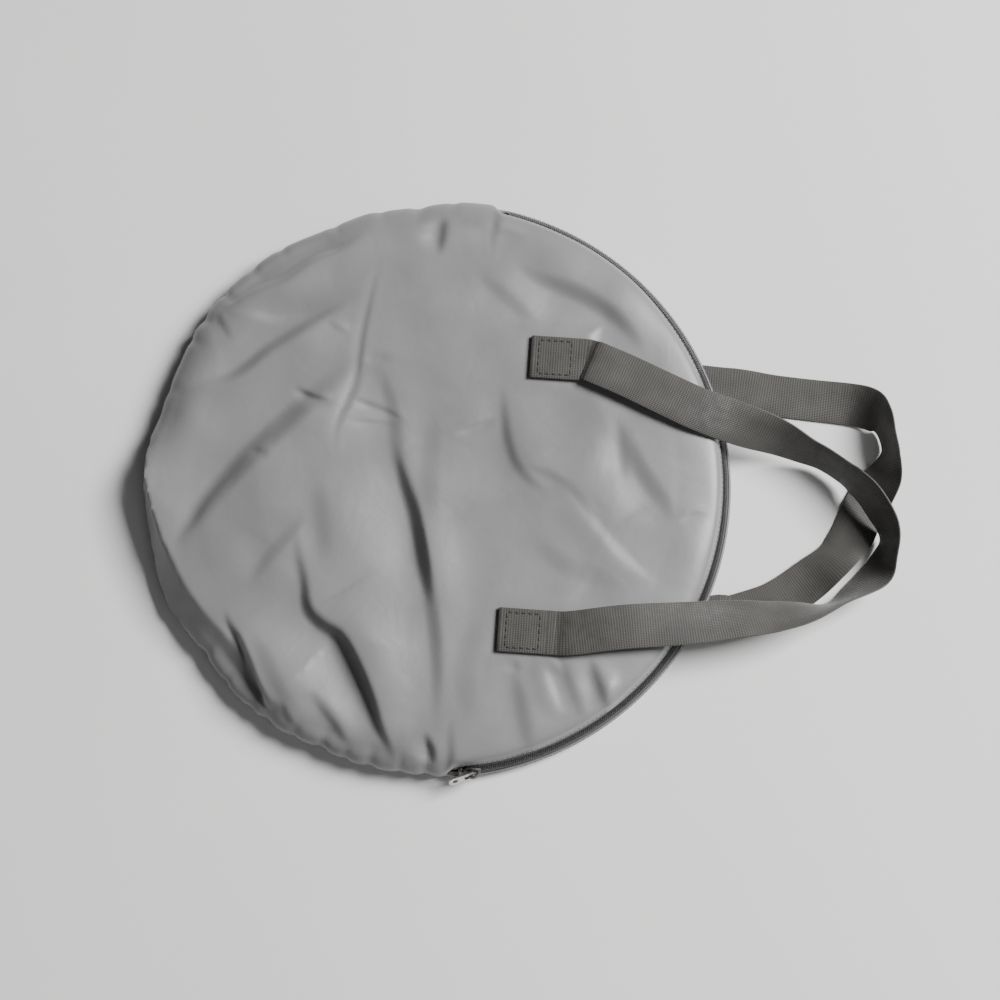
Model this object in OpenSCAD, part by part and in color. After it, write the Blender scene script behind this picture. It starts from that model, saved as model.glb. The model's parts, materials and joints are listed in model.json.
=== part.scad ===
// Round carry bag with a pop-up golf chipping net folded inside.
// The origin is the middle of the bag on the surface it lies on; +X points to the handles.

/* [Bag] */
// Radius of the sewn rim of the bag
bag_r = 168; // [162:1:190]
// Height of the stuffed bag at its highest
crown_h = 27; // [26:1:34]
// How far the middle of the top cloth sags below its highest part
sag = 2; // [0:0.5:3]
// Radius of the flat middle of the top cloth
middle_r = 24; // [10:1:30]
// How far inside the rim the top cloth is highest
crown_in = 68; // [56:1:88]
// How far inside the rim the top cloth starts to fall
shoulder_in = 32; // [26:1:43]
// Height of the top cloth at its shoulder
shoulder_h = 25.5; // [24:0.5:25.5]
// How far inside the rim the flat face that the bag lies on ends
flat_in = 20; // [16:1:28]
// Thickness of the coated polyester cloth
cloth_t = 1; // [0.8:0.1:1.2]
// Height of the sewn rim above the surface
seam_h = 9.5; // [8:0.5:10]
// Width of the seam allowance inside the rim
allowance_w = 9; // [6:0.5:10]

/* [Folds] */
// Depth of the deepest fold pressed into the top cloth
fold_deep = 5; // [3:0.1:5.4]

/* [Zip] */
// Height of the middle of the zip above the surface
rim_h = 11.5; // [11:0.5:13]
// How far the middle of the zip lies inside the radius of the bag
zip_inset = 4.5; // [4:0.5:6]
// Angle by which the face of the zip looks up from level
zip_tilt = 30; // [24:1:36]
// Place of the slider along the rim when the zip is closed, in degrees
zip_closed = -78; // [-80:0.5:-77.5]
// Place of the slider along the rim when the zip is open, in degrees
zip_open = 78.5; // [77:0.5:79]
// Width of the closed chain of teeth
chain_w = 6; // [5:0.5:6.5]
// Height of the coil teeth above the tape
teeth_h = 1.2; // [1:0.1:1.4]
// Gap between the two rows of teeth
row_gap = 1.2; // [1.2:0.1:1.5]
// Thickness of the woven tape
tape_t = 0.6; // [0.4:0.1:0.7]
// Bare width of tape between the teeth and the edge of the cloth
tape_bare = 1.9; // [1.9:0.1:2.4]
// Width of the upper hem that covers the tape
hem_w = 4.1; // [3:0.1:4.5]
// How far the hidden edge of the tape stops short of the end of the hem
tape_short = 0.5; // [0.5:0.1:1]
// Width of the lower hem that covers the tape
low_hem_w = 2.1; // [1.5:0.1:2.5]
// Length of each crimped end stop
stop_l = 2; // [1.5:0.1:2.4]

/* [Slider] */
// Length of the slider along the zip
slider_l = 9.4; // [8:0.1:9.6]
// Width of the slider at its mouth
slider_w = 9; // [8.8:0.1:9.2]
// Width of the slider at its narrow end
slider_tail_w = 6.4; // [5.5:0.1:7]
// Thickness of each slider plate
plate_t = 1.2; // [1:0.1:1.4]
// Width of the side flanges that hold the teeth together
flange_w = 1.1; // [0.8:0.1:1.2]
// Thickness of the wedge that parts the rows of teeth
wedge_t = 0.6; // [0.4:0.1:0.6]
// Outer radius of the bridge that carries the pull
bridge_r = 3.4; // [3.2:0.1:3.8]
// Thickness of the bridge
bridge_t = 1.1; // [0.9:0.1:1.2]
// Width of the bridge
bridge_w = 1.8; // [1.4:0.1:2]
// Diameter of the cross bar of the pull
bar_d = 1.3; // [1:0.1:1.4]
// Length of the pull from its cross bar to its tip
pull_l = 14; // [13:0.5:20]
// Width of the pull
pull_w = 6.6; // [6:0.1:7.5]
// Thickness of the pull
pull_t = 1.2; // [1:0.1:1.3]
// Length of the window in the pull that the bridge stands in
window_l = 5; // [4.8:0.1:5.4]
// Diameter of the hole near the tip of the pull
pull_hole_d = 3; // [2:0.1:3.4]
// Angle by which the pull stands off the zip at rest
pull_lift = 12; // [8:1:16]

/* [Handles] */
// Width of the webbing
strap_w = 25; // [22:0.5:26]
// Thickness of the webbing
strap_t = 1.4; // [1.2:0.1:1.6]
// Length of each sewn end of the top handle
patch_l = 27; // [24:0.5:27]
// Distance from the middle of the bag to the far sewn end, where its loop starts
far_x = 74; // [73.5:0.1:77]
// Offset of the far sewn end across the bag
far_y = 74; // [71:0.5:77]
// Turn of the far sewn end
far_turn = 1; // [-1:0.5:2]
// Distance from the middle of the bag to the near sewn end, where its loop starts
near_x = 69; // [68.5:0.1:72]
// Offset of the near sewn end across the bag
near_y = 82.5; // [80:0.5:85]
// Turn of the near sewn end
near_turn = 1; // [-1:0.5:2]
// Width of the sewing thread
thread_w = 0.6; // [0.4:0.1:0.8]
// Length of one stitch
stitch_l = 2.6; // [2:0.1:3]
// Distance from one stitch to the next
stitch_step = 4; // [3.6:0.1:5]
// Distance of the box stitch from the edge of the webbing
stitch_in = 3; // [2:0.5:4]

/* [Folded net] */
// How far inside the rim the three folded loops of the main hoop lie
hoop_in = 21; // [20:1:28]
// Diameter of the spring steel wire of the hoop
wire_d = 2.4; // [2:0.1:2.6]
// Diameter of the cloth sleeve round the wire
sleeve_d = 6; // [5.6:0.1:6.2]
// Radius of the bundle that the three loops lie in
bundle_r = 3.9; // [3.8:0.1:4.1]
// Height of the middle of the bundle
bundle_h = 10.2; // [10.2:0.1:10.6]
// Length of the crimped ferrule that joins the ends of the wire
ferrule_l = 20; // [14:1:26]
// Wall of the ferrule
ferrule_wall = 0.7; // [0.5:0.1:0.9]
// Width of the elastic strap that keeps the loops together
closer_w = 12; // [8:1:13]
// Slack of the elastic strap round the loops
closer_slack = 0.8; // [0.8:0.1:1]
// Height of the pile of folded netting
pile_h = 8.6; // [7:0.1:8.6]
// Thickness of each target ring
ring_d = 3.6; // [3:0.1:3.6]
// Distance between two target rings
ring_gap = 12.8; // [8:0.1:24]
// Distance of the target rings from the edge of the folded netting
ring_edge = 8.2; // [6:0.1:16]
// Thickness of each folded ball pocket
pocket_t = 2.4; // [1.6:0.1:2.6]
// Length of each ground peg
peg_l = 150; // [130:5:160]
// Diameter of each ground peg
peg_d = 3; // [2.5:0.1:3]
// Distance between the pegs
peg_step = 4.4; // [4:0.1:5]
// Inner radius of the bend of a peg
hook_r = 3; // [2.5:0.5:4]
// Length of the bent end of a peg
hook_l = 8; // [6:1:10]
// Where the bundle of pegs lies
peg_x = 72; // [66:1:76]
// Width of the band round the pegs
band_w = 12; // [8:1:16]
// Thickness of the band round the pegs
band_t = 0.8; // [0.6:0.1:0.8]

/* [Hidden] */

$fn = 96;
// running clearance between pieces that move past each other
gap = 0.3;
// gap between two pieces that lie against each other
rest_gap = 0.2;
// reach of a block that holds the whole bag
big = 4 * bag_r;

crown_r = bag_r - crown_in;
shoulder_r = bag_r - shoulder_in;
flat_r = bag_r - flat_in;
hoop_r = bag_r - hoop_in;

zip_r = bag_r - zip_inset;
chain_half = chain_w / 2;
row_half = row_gap / 2;
cloth_edge = chain_half + tape_bare;
hem_out = tape_t / 2 + cloth_t;
// half of the angle that the slider takes up on the rim, with its clearance
park = (slider_l / 2 + gap + 0.6) / zip_r * 180 / PI;
stop_deg = stop_l / zip_r * 180 / PI;
fold_near = zip_closed + park;
fold_far = zip_open - park;
chain_near = zip_closed - park;
chain_far = zip_open + park;
tape_near = chain_near - stop_deg - 0.6;
tape_far = chain_far + stop_deg + 0.6;

// a point of the zip's section: n out through its face and t up across it
function zip_pt(n, t) = [
  zip_r + n * cos(zip_tilt) - t * sin(zip_tilt),
  rim_h + n * sin(zip_tilt) + t * cos(zip_tilt)];
// a line of points moved sideways by d, to the right of its direction
function heading(p, i) = p[min(i + 1, len(p) - 1)] - p[max(i - 1, 0)];
function moved(p, d) = [for (i = [0 : len(p) - 1])
  let (h = heading(p, i)) p[i] + d * [h.y, -h.x] / norm(h)];
function reversed(p) = [for (i = [len(p) - 1 : -1 : 0]) p[i]];
// a quarter round from a level line to an upright one
function quarter(from, to) = [for (k = [1 : 6])
  [from.x + (to.x - from.x) * sin(15 * k), to.y + (from.y - to.y) * cos(15 * k)]];

// outer lines of the cloth, from the middle outwards
function top_start() = [[0, crown_h - sag], [middle_r, crown_h - sag],
  [(middle_r + crown_r) / 2, crown_h - sag * 0.3], [crown_r, crown_h], [shoulder_r, shoulder_h]];
function top_line(edge) = concat(top_start(), quarter([shoulder_r, shoulder_h], edge));
function low_line(edge) = concat([[0, 0], [flat_r, 0]], quarter([flat_r, 0], edge));
// how far above and below the seam the cloths turn in to it
seam_turn = 1.5;
seam_top = concat(top_line([bag_r - 0.5, seam_h + seam_turn]), [[bag_r - 0.5, seam_h]]);
seam_low = concat(low_line([bag_r - 0.5, seam_h - seam_turn]), [[bag_r - 0.5, seam_h]]);
hem_top = concat(top_line(zip_pt(hem_out, cloth_edge + hem_w)), [zip_pt(hem_out, cloth_edge)]);
hem_low = concat(low_line(zip_pt(hem_out, -cloth_edge - low_hem_w)),
  [zip_pt(hem_out, -cloth_edge)]);

// main folds of the top cloth: share of the depth, width of the steep side, width of the easy
// side, and the line of the steep side, with the steep side on the left of the way it runs
back_folds = [
  [0.6, 5, 10, [[-60, 96], [-87, 78], [-113, 56], [-134, 44], [-147, 41]]],
  [1, 8, 15, [[-63, 56], [-82, 32], [-105, 6], [-127, -24], [-138, -44]]],
  [0.7, 4.5, 9, [[-35, 52], [-24, 12], [-8, -30], [1, -64], [9, -102], [12, -140]]],
  [1, 4.5, 8, [[-74, -48], [-65, -80], [-46, -94], [-27, -124], [-13, -151]]],
  [0.8, 3.5, 7, [[-110, -88], [-103, -99], [-96, -112], [-89, -127]]]];
flap_folds = [
  [0.55, 6, 12, [[46, 122], [69, 114], [86, 106], [107, 89]]],
  [0.6, 4, 10, [[133, -12], [127, -2], [118, 8], [110, 21], [103, 37]]]];

// where the flap folds: a line between two places on the rim
fold_a = bag_r * [cos(fold_near), sin(fold_near)];
fold_b = bag_r * [cos(fold_far), sin(fold_far)];
fold_line = [fold_a, fold_b];
// where the zip ends and the plain seam starts: a line between the ends of the tapes
ends_line = bag_r * [[cos(tape_near), sin(tape_near)], [cos(tape_far), sin(tape_far)]];

// heights of the handles' sewn ends
patch_t = 2 * strap_t;
patch_top = crown_h + patch_t;
strap_mid = crown_h + 1.5 * strap_t;
under_z = 0.15;
under_mid = under_z + strap_t / 2;
strap_roof = under_z + strap_t + 0.15;
patch_roof = under_z + patch_t + 0.15;

// the three-loop winding of the hoop, as one closed line
loops = 3;
ring_steps = 24;
ferrule_at = -45;
function wound(k) = let (a = 360 * k / ring_steps, b = a / loops, c = a + ferrule_at,
  r = hoop_r + bundle_r * cos(b)) [r * cos(c), r * sin(c), bundle_h + bundle_r * sin(b)];
ferrule_deg = ferrule_l / (hoop_r + bundle_r) * 180 / PI;
first = (ferrule_deg / 2 + 1) / 360 * ring_steps;
wire_end = 0.6 / (hoop_r + bundle_r) * 180 / PI / 360 * ring_steps;
// the stations of a winding: whole steps, and shorter ones at its two ends
function winding(ends) = [for (k = concat(ends, [for (j = [1 : loops * ring_steps - 1]) j],
  [for (i = [len(ends) - 1 : -1 : 0]) loops * ring_steps - ends[i]])) wound(k)];
self_gap = min([for (k = [0 : 0.5 : loops * ring_steps]) for (j = [1 : loops - 1])
  for (e = [-0.2 : 0.05 : 0.2]) norm(wound(k) - wound(k + j * ring_steps + e))]) - sleeve_d;
echo(least_gap_between_hoop_loops = self_gap);

net_floor = patch_roof + cloth_t + gap;
net_r = hoop_r - bundle_r - sleeve_d / 2 - closer_slack - cloth_t - gap;
// three equal rings inside the netting, each as far from the others as ring_gap says
ring_out = (net_r - ring_edge + ring_gap / 2) / (1 + sqrt(3) / 2);
ring_r = (sqrt(3) * ring_out - ring_d - ring_gap) / 2;
ring_turn = 60;
pile_top = net_floor + pile_h;
ring_z = pile_top + rest_gap + ring_d / 2;
peg_z = ring_z + ring_d / 2 + rest_gap + peg_d / 2;
pegs = 4;

/* shared shapes */

// turns a section round the middle of the bag, from one angle to another
module around(from, to) {
  rotate([0, 0, from]) rotate_extrude(angle = to - from) children();
}

// a flat strip of the zip's section
module strip(n0, n1, t0, t1) {
  polygon([zip_pt(n0, t0), zip_pt(n1, t0), zip_pt(n1, t1), zip_pt(n0, t1)]);
}

// section of a cloth with the given outer line, its thickness to the right (1) or left (-1)
module cloth_section(line, side) {
  inner = [for (p = moved(line, side * cloth_t)) [max(p.x, 0), p.y]];
  polygon(concat(line, reversed(inner)));
}

// everything on the handles' side (-1) or the other side (1) of a line, from a distance past it
module beside(line, side, past) {
  turn = atan2(line[1].y - line[0].y, line[1].x - line[0].x);
  translate([line[0].x, line[0].y, -1]) rotate([0, 0, turn])
    translate([-big, side > 0 ? past : -big - past, 0]) cube([2 * big, big, big]);
}

// a ribbon through points with a lean, its outer edge up where the lean is positive
function cr(a, b, c, d, u) = 0.5 * (2 * b + (c - a) * u + (2 * a - 5 * b + 4 * c - d) * u * u
  + (3 * b - a - 3 * c + d) * u * u * u);
function smooth(p, n) = [for (i = [0 : len(p) - 2]) for (k = [0 : n - 1])
  cr(p[max(i - 1, 0)], p[i], p[i + 1], p[min(i + 2, len(p) - 1)], k / n)];
function run(p, i) = let (d = p[min(i + 1, len(p) - 1)] - p[max(i - 1, 0)])
  [d.x, d.y, d.z] / norm([d.x, d.y, d.z]);
function across(d, lean) = let (o = [-d.y, d.x, 0] / norm([d.x, d.y]), up = cross(d, o))
  o * cos(lean) + up * sin(lean);
function ribbon_ring(p, i) = let (c = [p[i].x, p[i].y, p[i].z], d = run(p, i),
  o = across(d, p[i][3]), up = cross(d, o))
  [for (s = [[1, 1], [-1, 1], [-1, -1], [1, -1]]) c + o * s.x * strap_w / 2 + up * s.y * strap_t / 2];

// closed skin through rings of the same number of points
module skin(rings) {
  n = len(rings[0]);
  m = len(rings);
  sides = [for (i = [0 : m - 2]) for (k = [0 : n - 1]) for (f = [0, 1])
    f == 0 ? [i * n + k, (i + 1) * n + k, i * n + (k + 1) % n]
    : [i * n + (k + 1) % n, (i + 1) * n + k, (i + 1) * n + (k + 1) % n]];
  start = [for (k = [1 : n - 2]) [0, k, k + 1]];
  finish = [for (k = [1 : n - 2]) [(m - 1) * n, (m - 1) * n + k + 1, (m - 1) * n + k]];
  polyhedron([for (r = rings) each r], concat(sides, start, finish));
}

module ribbon(route, n) {
  p = concat(smooth(route, n), [route[len(route) - 1]]);
  skin([for (i = [0 : len(p) - 1]) ribbon_ring(p, i)]);
}

// closed skin of a hollow tube, through rings of outer points and of inner points
module hollow_skin(outer, inner) {
  n = len(outer[0]);
  m = len(outer);
  base = m * n;
  walls = [for (i = [0 : m - 2]) for (k = [0 : n - 1])
    let (a = i * n + k, b = i * n + (k + 1) % n, c = a + n, d = b + n)
    each [[a, c, b], [b, c, d], [base + a, base + b, base + c], [base + b, base + d, base + c]]];
  ends = [for (k = [0 : n - 1]) let (j = (k + 1) % n, e = (m - 1) * n)
    each [[k, j, base + k], [j, base + j, base + k],
      [e + k, base + e + k, e + j], [e + j, base + e + k, base + e + j]]];
  polyhedron([for (r = concat(outer, inner)) each r], concat(walls, ends));
}

// rings of points round the wound line, for a tube of the given diameter
function tube_rings(line, d) = [for (c = line) let (o = [c.x, c.y, 0] / norm([c.x, c.y]))
  [for (q = [0 : 5]) c + d / 2 * (o * cos(60 * q) - [0, 0, 1] * sin(60 * q))]];

// moves to the middle of the slider: X out through the zip, Y along it, Z up across it
module at_slider() {
  rotate([0, 0, zip_closed]) translate([zip_r, 0, rim_h]) rotate([0, -zip_tilt, 0]) children();
}

// plan of a sewn end of the under handle with its trapped length, grown all round
module held_plan(end_x, end_y, exit_x, exit_y, grow) {
  half = strap_w / 2 + grow;
  polygon([[end_x - patch_l - grow, end_y - half], [end_x, end_y - half],
    [exit_x, exit_y - half], [exit_x, exit_y + half],
    [end_x, end_y + half], [end_x - patch_l - grow, end_y + half]]);
}

module held_plans(grow) {
  held_plan(far_x, far_y, under_far.x, under_far.y, grow);
  held_plan(near_x, -near_y, under_near.x, under_near.y, grow);
}

module patch_plans(grow) {
  for (p = [[far_x, far_y], [near_x, -near_y]])
    translate([p.x - patch_l - grow, p.y - strap_w / 2 - grow])
      square([patch_l + 2 * grow, strap_w + 2 * grow]);
}

// a box of stitches on a sewn end whose loop side is at the origin
module box_stitch(height) {
  long = patch_l - 2 * stitch_in;
  wide = strap_w - 2 * stitch_in;
  along = floor(long / stitch_step);
  over = floor(wide / stitch_step);
  for (k = [0 : along - 1], y = [-1, 1])
    translate([-stitch_in - (k + 0.5) * long / along - stitch_l / 2, y * wide / 2 - thread_w / 2, 0])
      cube([stitch_l, thread_w, height]);
  for (k = [0 : over - 1], x = [stitch_in, patch_l - stitch_in])
    translate([-x - thread_w / 2, (k + 0.5) * wide / over - wide / 2 - stitch_l / 2, 0])
      cube([thread_w, stitch_l, height]);
}

/* routes of the two handles: x, y, z and lean */

// how far the top handle bows up off the cloth between its sewn ends and the rim
lift = 2;
// where the two legs of the under handle come out from below the bag
under_far = [bag_r - 10, 71.5];
under_near = [bag_r - 3, -61.5];

function ahead(x, y, turn, d) = [x + d * cos(turn), y + d * sin(turn), strap_mid, 0];

top_route = [
  ahead(far_x, far_y, far_turn, gap),
  ahead(far_x, far_y, far_turn, 3),
  ahead(far_x, far_y, far_turn, 6),
  [far_x + 12, far_y - 2, strap_mid + lift / 2, 0],
  [far_x + 31, far_y - 9, strap_mid + lift + 1, 0],
  [bag_r - 27, 51.5, crown_h + 4, 6],
  [bag_r - 2, 45.5, crown_h - 0.5, 20],
  [bag_r + 21, 41, 20.5, 44],
  [bag_r + 38, 35.5, 16.5, 64],
  [bag_r + 50, 31.5, 15.5, 72],
  [bag_r + 62, 24.5, 16.5, 74],
  [bag_r + 69, 19, 18, 70],
  [bag_r + 76, 12.5, 19, 68],
  [bag_r + 83, 3.5, 18, 68],
  [bag_r + 88, -4.5, 16.5, 72],
  [bag_r + 90, -13, 14.5, 74],
  [bag_r + 88, -22, 12.2, 62],
  [bag_r + 84, -31.5, 10.8, 50],
  [bag_r + 74, -41, 11.8, 62],
  [bag_r + 61, -51, 14.8, 78],
  [bag_r + 43, -57.5, 19, 54],
  [bag_r + 27, -61.5, 21, 40],
  [bag_r + 5, -65.5, crown_h - 2, 24],
  [bag_r - 22, -70.5, crown_h + 2, 10],
  [near_x + 42, -76, strap_mid + lift + 1, 0],
  [near_x + 15, -81.5, strap_mid + lift / 2, 0],
  ahead(near_x, -near_y, near_turn, 6),
  ahead(near_x, -near_y, near_turn, 3),
  ahead(near_x, -near_y, near_turn, gap)];

under_route = [
  [under_far.x + gap, under_far.y, under_mid, 0],
  [under_far.x + 4, under_far.y, under_mid, 0],
  [under_far.x + 8, under_far.y, under_mid, 0],
  [bag_r + 6, 71, under_mid, 0],
  [bag_r + 21, 69.5, under_mid + 0.1, 0],
  [bag_r + 43, 68.5, under_mid + 0.5, 2],
  [bag_r + 65, 67.5, 3.2, 9],
  [bag_r + 76, 64.5, 8, 32],
  [bag_r + 82, 58.5, 12.4, 66],
  [bag_r + 86, 48.5, 13.3, 80],
  [bag_r + 88, 38, 12.9, 74],
  [bag_r + 86, 26, 9.5, 40],
  [bag_r + 80, 14.5, 2.6, 6],
  [bag_r + 76, 5.5, 1.6, 1],
  [bag_r + 71, -8.5, 2.8, 8],
  [bag_r + 65, -18.5, 6.6, 28],
  [bag_r + 58, -27, 7, 28],
  [bag_r + 48, -36.5, 3.6, 10],
  [bag_r + 38, -45, 1.8, 3],
  [bag_r + 27, -52.5, 1.2, 0],
  [bag_r + 13, -58.5, under_mid, 0],
  [under_near.x + 8, under_near.y, under_mid, 0],
  [under_near.x + 4, under_near.y, under_mid, 0],
  [under_near.x + gap, under_near.y, under_mid, 0]];

/* the bag */

module bottom_panel() {
  bowl = concat(hem_low, [[0, hem_low[len(hem_low) - 1].y]]);
  color("dimgray")
    difference() {
      union() {
        intersection() {
          rotate_extrude() cloth_section(seam_low, -1);
          beside(ends_line, 1, 0);
        }
        intersection() {
          rotate_extrude() cloth_section(hem_low, -1);
          beside(ends_line, -1, 0);
        }
        intersection() {
          rotate_extrude() polygon(bowl);
          union() {
            linear_extrude(strap_roof + cloth_t) held_plans(gap + cloth_t);
            linear_extrude(patch_roof + cloth_t) patch_plans(gap + cloth_t);
          }
        }
      }
      translate([0, 0, -1]) linear_extrude(strap_roof + 1) held_plans(gap);
      translate([0, 0, -1]) linear_extrude(patch_roof + 1) patch_plans(gap);
    }
}

// section of a fold at one of its points, across it and up from the cloth: what is cut away over
// it, or the block under it; size is 0 at both ends
function fold_section(f, size, cut) = let (low = -0.75 * f[1], far = low - 1.5 * f[2],
  near = 0.85 * f[1], w = 0.4 + 0.6 * size, deep = f[0] * fold_deep * size, over = 6,
  under = cloth_t + 0.4, mid = cloth_t * 0.45)
  cut ? concat(size > 0 ? [[far * w, 0.15], [low * w, -deep], [near * w, 0.4]]
      : [[far * w, 0.5], [low * w, 0.5], [near * w, 0.5]], [[near * w, over], [far * w, over]])
  : [[far * w - 1, -under], [low * w, -deep - under], [near * w + 1.5, -under],
    [near * w + 1.5, -mid], [low * w, -mid], [far * w - 1, -mid]];

// how much of its depth a fold has at its first points, from either end
fold_ends = [0, 0.16, 0.5, 0.8, 1];

module fold(f, cut) {
  line = concat(smooth(f[3], 3), [f[3][len(f[3]) - 1]]);
  last = len(line) - 1;
  skin([for (i = [0 : last]) let (h = heading(line, i) / norm(heading(line, i)))
    [for (s = fold_section(f, fold_ends[min(i, last - i, len(fold_ends) - 1)], cut))
      let (p = line[i] + s.x * [-h.y, h.x]) [p.x, p.y, lookup(norm(p), seam_top) + s.y]]]);
}

// presses folds into a cloth
module pressed(folds) {
  difference() {
    union() {
      children();
      for (f = folds) fold(f, false);
    }
    for (f = folds) fold(f, true);
  }
}

module top_panel_back() {
  color("gray")
    pressed(back_folds) union() {
      intersection() {
        rotate_extrude() cloth_section(seam_top, 1);
        beside(ends_line, 1, 0);
      }
      intersection() {
        rotate_extrude() cloth_section(hem_top, 1);
        beside(ends_line, -1, 0);
        beside(fold_line, 1, rest_gap / 2);
      }
    }
}

module top_panel_flap() {
  color("darkgray")
    pressed(flap_folds) intersection() {
      around(tape_near, tape_far) cloth_section(hem_top, 1);
      beside(fold_line, -1, rest_gap / 2);
    }
}

module rim_seam_allowance() {
  color("dimgray")
    intersection() {
      rotate_extrude()
        translate([bag_r - 0.6 - cloth_t - allowance_w, seam_h - cloth_t * 0.9])
          square([allowance_w, cloth_t * 1.8]);
      beside(ends_line, 1, rest_gap);
    }
}

/* the zip */

module lower_zip_tape() {
  color("#3a3636")
    intersection() {
      around(tape_near - 2, tape_far + 2)
        strip(-tape_t / 2, tape_t / 2, -cloth_edge - low_hem_w + tape_short, -row_half - 0.4);
      beside(ends_line, -1, rest_gap);
    }
}

module lower_zip_teeth() {
  color("#2c2929")
    around(chain_near, chain_far)
      strip(tape_t / 2, tape_t / 2 + teeth_h, -chain_half, -row_half);
}

module upper_tape_ring() {
  around(tape_near - 2, tape_far + 2)
    strip(-tape_t / 2, tape_t / 2, row_half + 0.4, cloth_edge + hem_w - tape_short);
}

module upper_teeth_ring() {
  around(chain_near, chain_far)
    strip(tape_t / 2, tape_t / 2 + teeth_h, row_half, chain_half);
}

module upper_zip_tape() {
  color("#3a3636")
    intersection() {
      upper_tape_ring();
      beside(fold_line, -1, rest_gap / 2);
    }
}

module upper_zip_tape_ends() {
  color("#3a3636")
    intersection() {
      upper_tape_ring();
      beside(ends_line, -1, rest_gap);
      beside(fold_line, 1, rest_gap / 2);
    }
}

module upper_zip_teeth() {
  color("#2c2929")
    intersection() {
      upper_teeth_ring();
      beside(fold_line, -1, rest_gap / 2);
    }
}

module upper_zip_teeth_ends() {
  color("#2c2929")
    intersection() {
      upper_teeth_ring();
      beside(fold_line, 1, rest_gap / 2);
    }
}

module zip_end_stops() {
  color("silver") {
    around(chain_far, chain_far + stop_deg)
      strip(tape_t / 2, tape_t / 2 + teeth_h + 0.3, -chain_half, chain_half);
    around(chain_near - stop_deg, chain_near)
      strip(tape_t / 2, tape_t / 2 + teeth_h + 0.3, -chain_half, chain_half);
  }
}

// the inner face of the slider's outer plate and the middle of the pull's cross bar
plate_in = tape_t / 2 + teeth_h + gap;
plate_out = plate_in + plate_t;
bar_out = plate_out + bridge_r - bridge_t - bar_d / 2 - 0.4;

// outline of a slider plate: wide at the mouth that faces the closed end of the zip
module slider_plan() {
  polygon([[-slider_l / 2, -slider_w / 2 + 1], [-slider_l / 2 + 0.8, -slider_w / 2],
    [-0.6, -slider_w / 2], [slider_l / 2, -slider_tail_w / 2],
    [slider_l / 2, slider_tail_w / 2], [-0.6, slider_w / 2],
    [-slider_l / 2 + 0.8, slider_w / 2], [-slider_l / 2, slider_w / 2 - 1]]);
}

// a plate of the slider between two depths
module slider_plate(from, to) {
  translate([from, 0, 0]) rotate([90, 0, 90]) linear_extrude(to - from) slider_plan();
}

module zip_slider() {
  back_in = -tape_t / 2 - gap;
  flange_in = tape_t / 2 + gap;
  side = slider_tail_w / 2 > chain_half + gap + flange_w ? slider_tail_w / 2 : slider_w / 2;
  color("#5a5856")
    at_slider() {
      slider_plate(plate_in, plate_out);
      slider_plate(back_in - plate_t, back_in);
      translate([back_in, -slider_l / 2, -wedge_t / 2])
        cube([plate_in - back_in, slider_l * 0.35, wedge_t]);
      for (s = [-1, 1])
        translate([flange_in, -slider_l / 2 + 0.9, s > 0 ? side - flange_w : -side])
          cube([plate_in - flange_in, slider_l / 2 - 1.6, flange_w]);
      intersection() {
        translate([plate_out, 0, -bridge_w / 2]) difference() {
          cylinder(r = bridge_r, h = bridge_w);
          translate([0, 0, -1]) cylinder(r = bridge_r - bridge_t, h = bridge_w + 2);
        }
        translate([plate_out, -slider_l, -slider_w]) cube([slider_l, 2 * slider_l, 2 * slider_w]);
      }
    }
}

module zip_pull() {
  side_w = (pull_w - bridge_w) / 2 - gap - 0.2;
  color("silver")
    at_slider() translate([bar_out, 0, 0]) rotate([0, 0, pull_lift]) {
      translate([0, 0, -pull_w / 2]) cylinder(d = bar_d, h = pull_w);
      for (z = [-pull_w / 2, pull_w / 2 - side_w])
        translate([-pull_t / 2, -window_l - 0.5, z]) cube([pull_t, window_l + 0.5, side_w]);
      translate([-pull_t / 2, 0, 0]) rotate([90, 0, 90]) linear_extrude(pull_t)
        difference() {
          union() {
            translate([-pull_l + pull_w / 2, -pull_w / 2])
              square([pull_l - pull_w / 2 - window_l, pull_w]);
            translate([-pull_l + pull_w / 2, 0]) circle(d = pull_w);
          }
          translate([-pull_l + pull_w / 2 + 0.4, 0]) circle(d = pull_hole_d);
        }
    }
}

/* the handles */

module top_handle_strap() {
  color("#4a4643") ribbon(top_route, 3);
}

module top_handle_sewn_ends() {
  color("#4a4643")
    for (p = [[far_x, far_y, far_turn], [near_x, -near_y, near_turn]])
      translate([p.x, p.y, crown_h]) rotate([0, 0, p.z])
        translate([-patch_l, -strap_w / 2, 0]) cube([patch_l, strap_w, patch_t]);
}

module top_handle_stitching() {
  color("#1c1b1a")
    for (p = [[far_x, far_y, far_turn], [near_x, -near_y, near_turn]])
      translate([p.x, p.y, patch_top]) rotate([0, 0, p.z]) box_stitch(thread_w / 2);
}

module under_handle_strap() {
  color("#4a4643") ribbon(under_route, 3);
}

module under_handle_held_ends() {
  color("#4a4643") {
    translate([0, 0, under_z]) linear_extrude(strap_t) held_plans(0);
    translate([0, 0, under_z + strap_t]) linear_extrude(strap_t) patch_plans(0);
  }
}

module under_handle_stitching() {
  color("#1c1b1a")
    for (p = [[far_x, far_y], [near_x, -near_y]])
      translate([p.x, p.y, 0]) box_stitch(under_z);
}

/* the folded net */

module hoop_wire() {
  color("lightsteelblue") skin(tube_rings(winding([wire_end, first]), wire_d));
}

module hoop_sleeve() {
  line = winding([first]);
  color("#2f6b3a") hollow_skin(tube_rings(line, sleeve_d), tube_rings(line, wire_d + 2 * gap));
}

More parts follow.
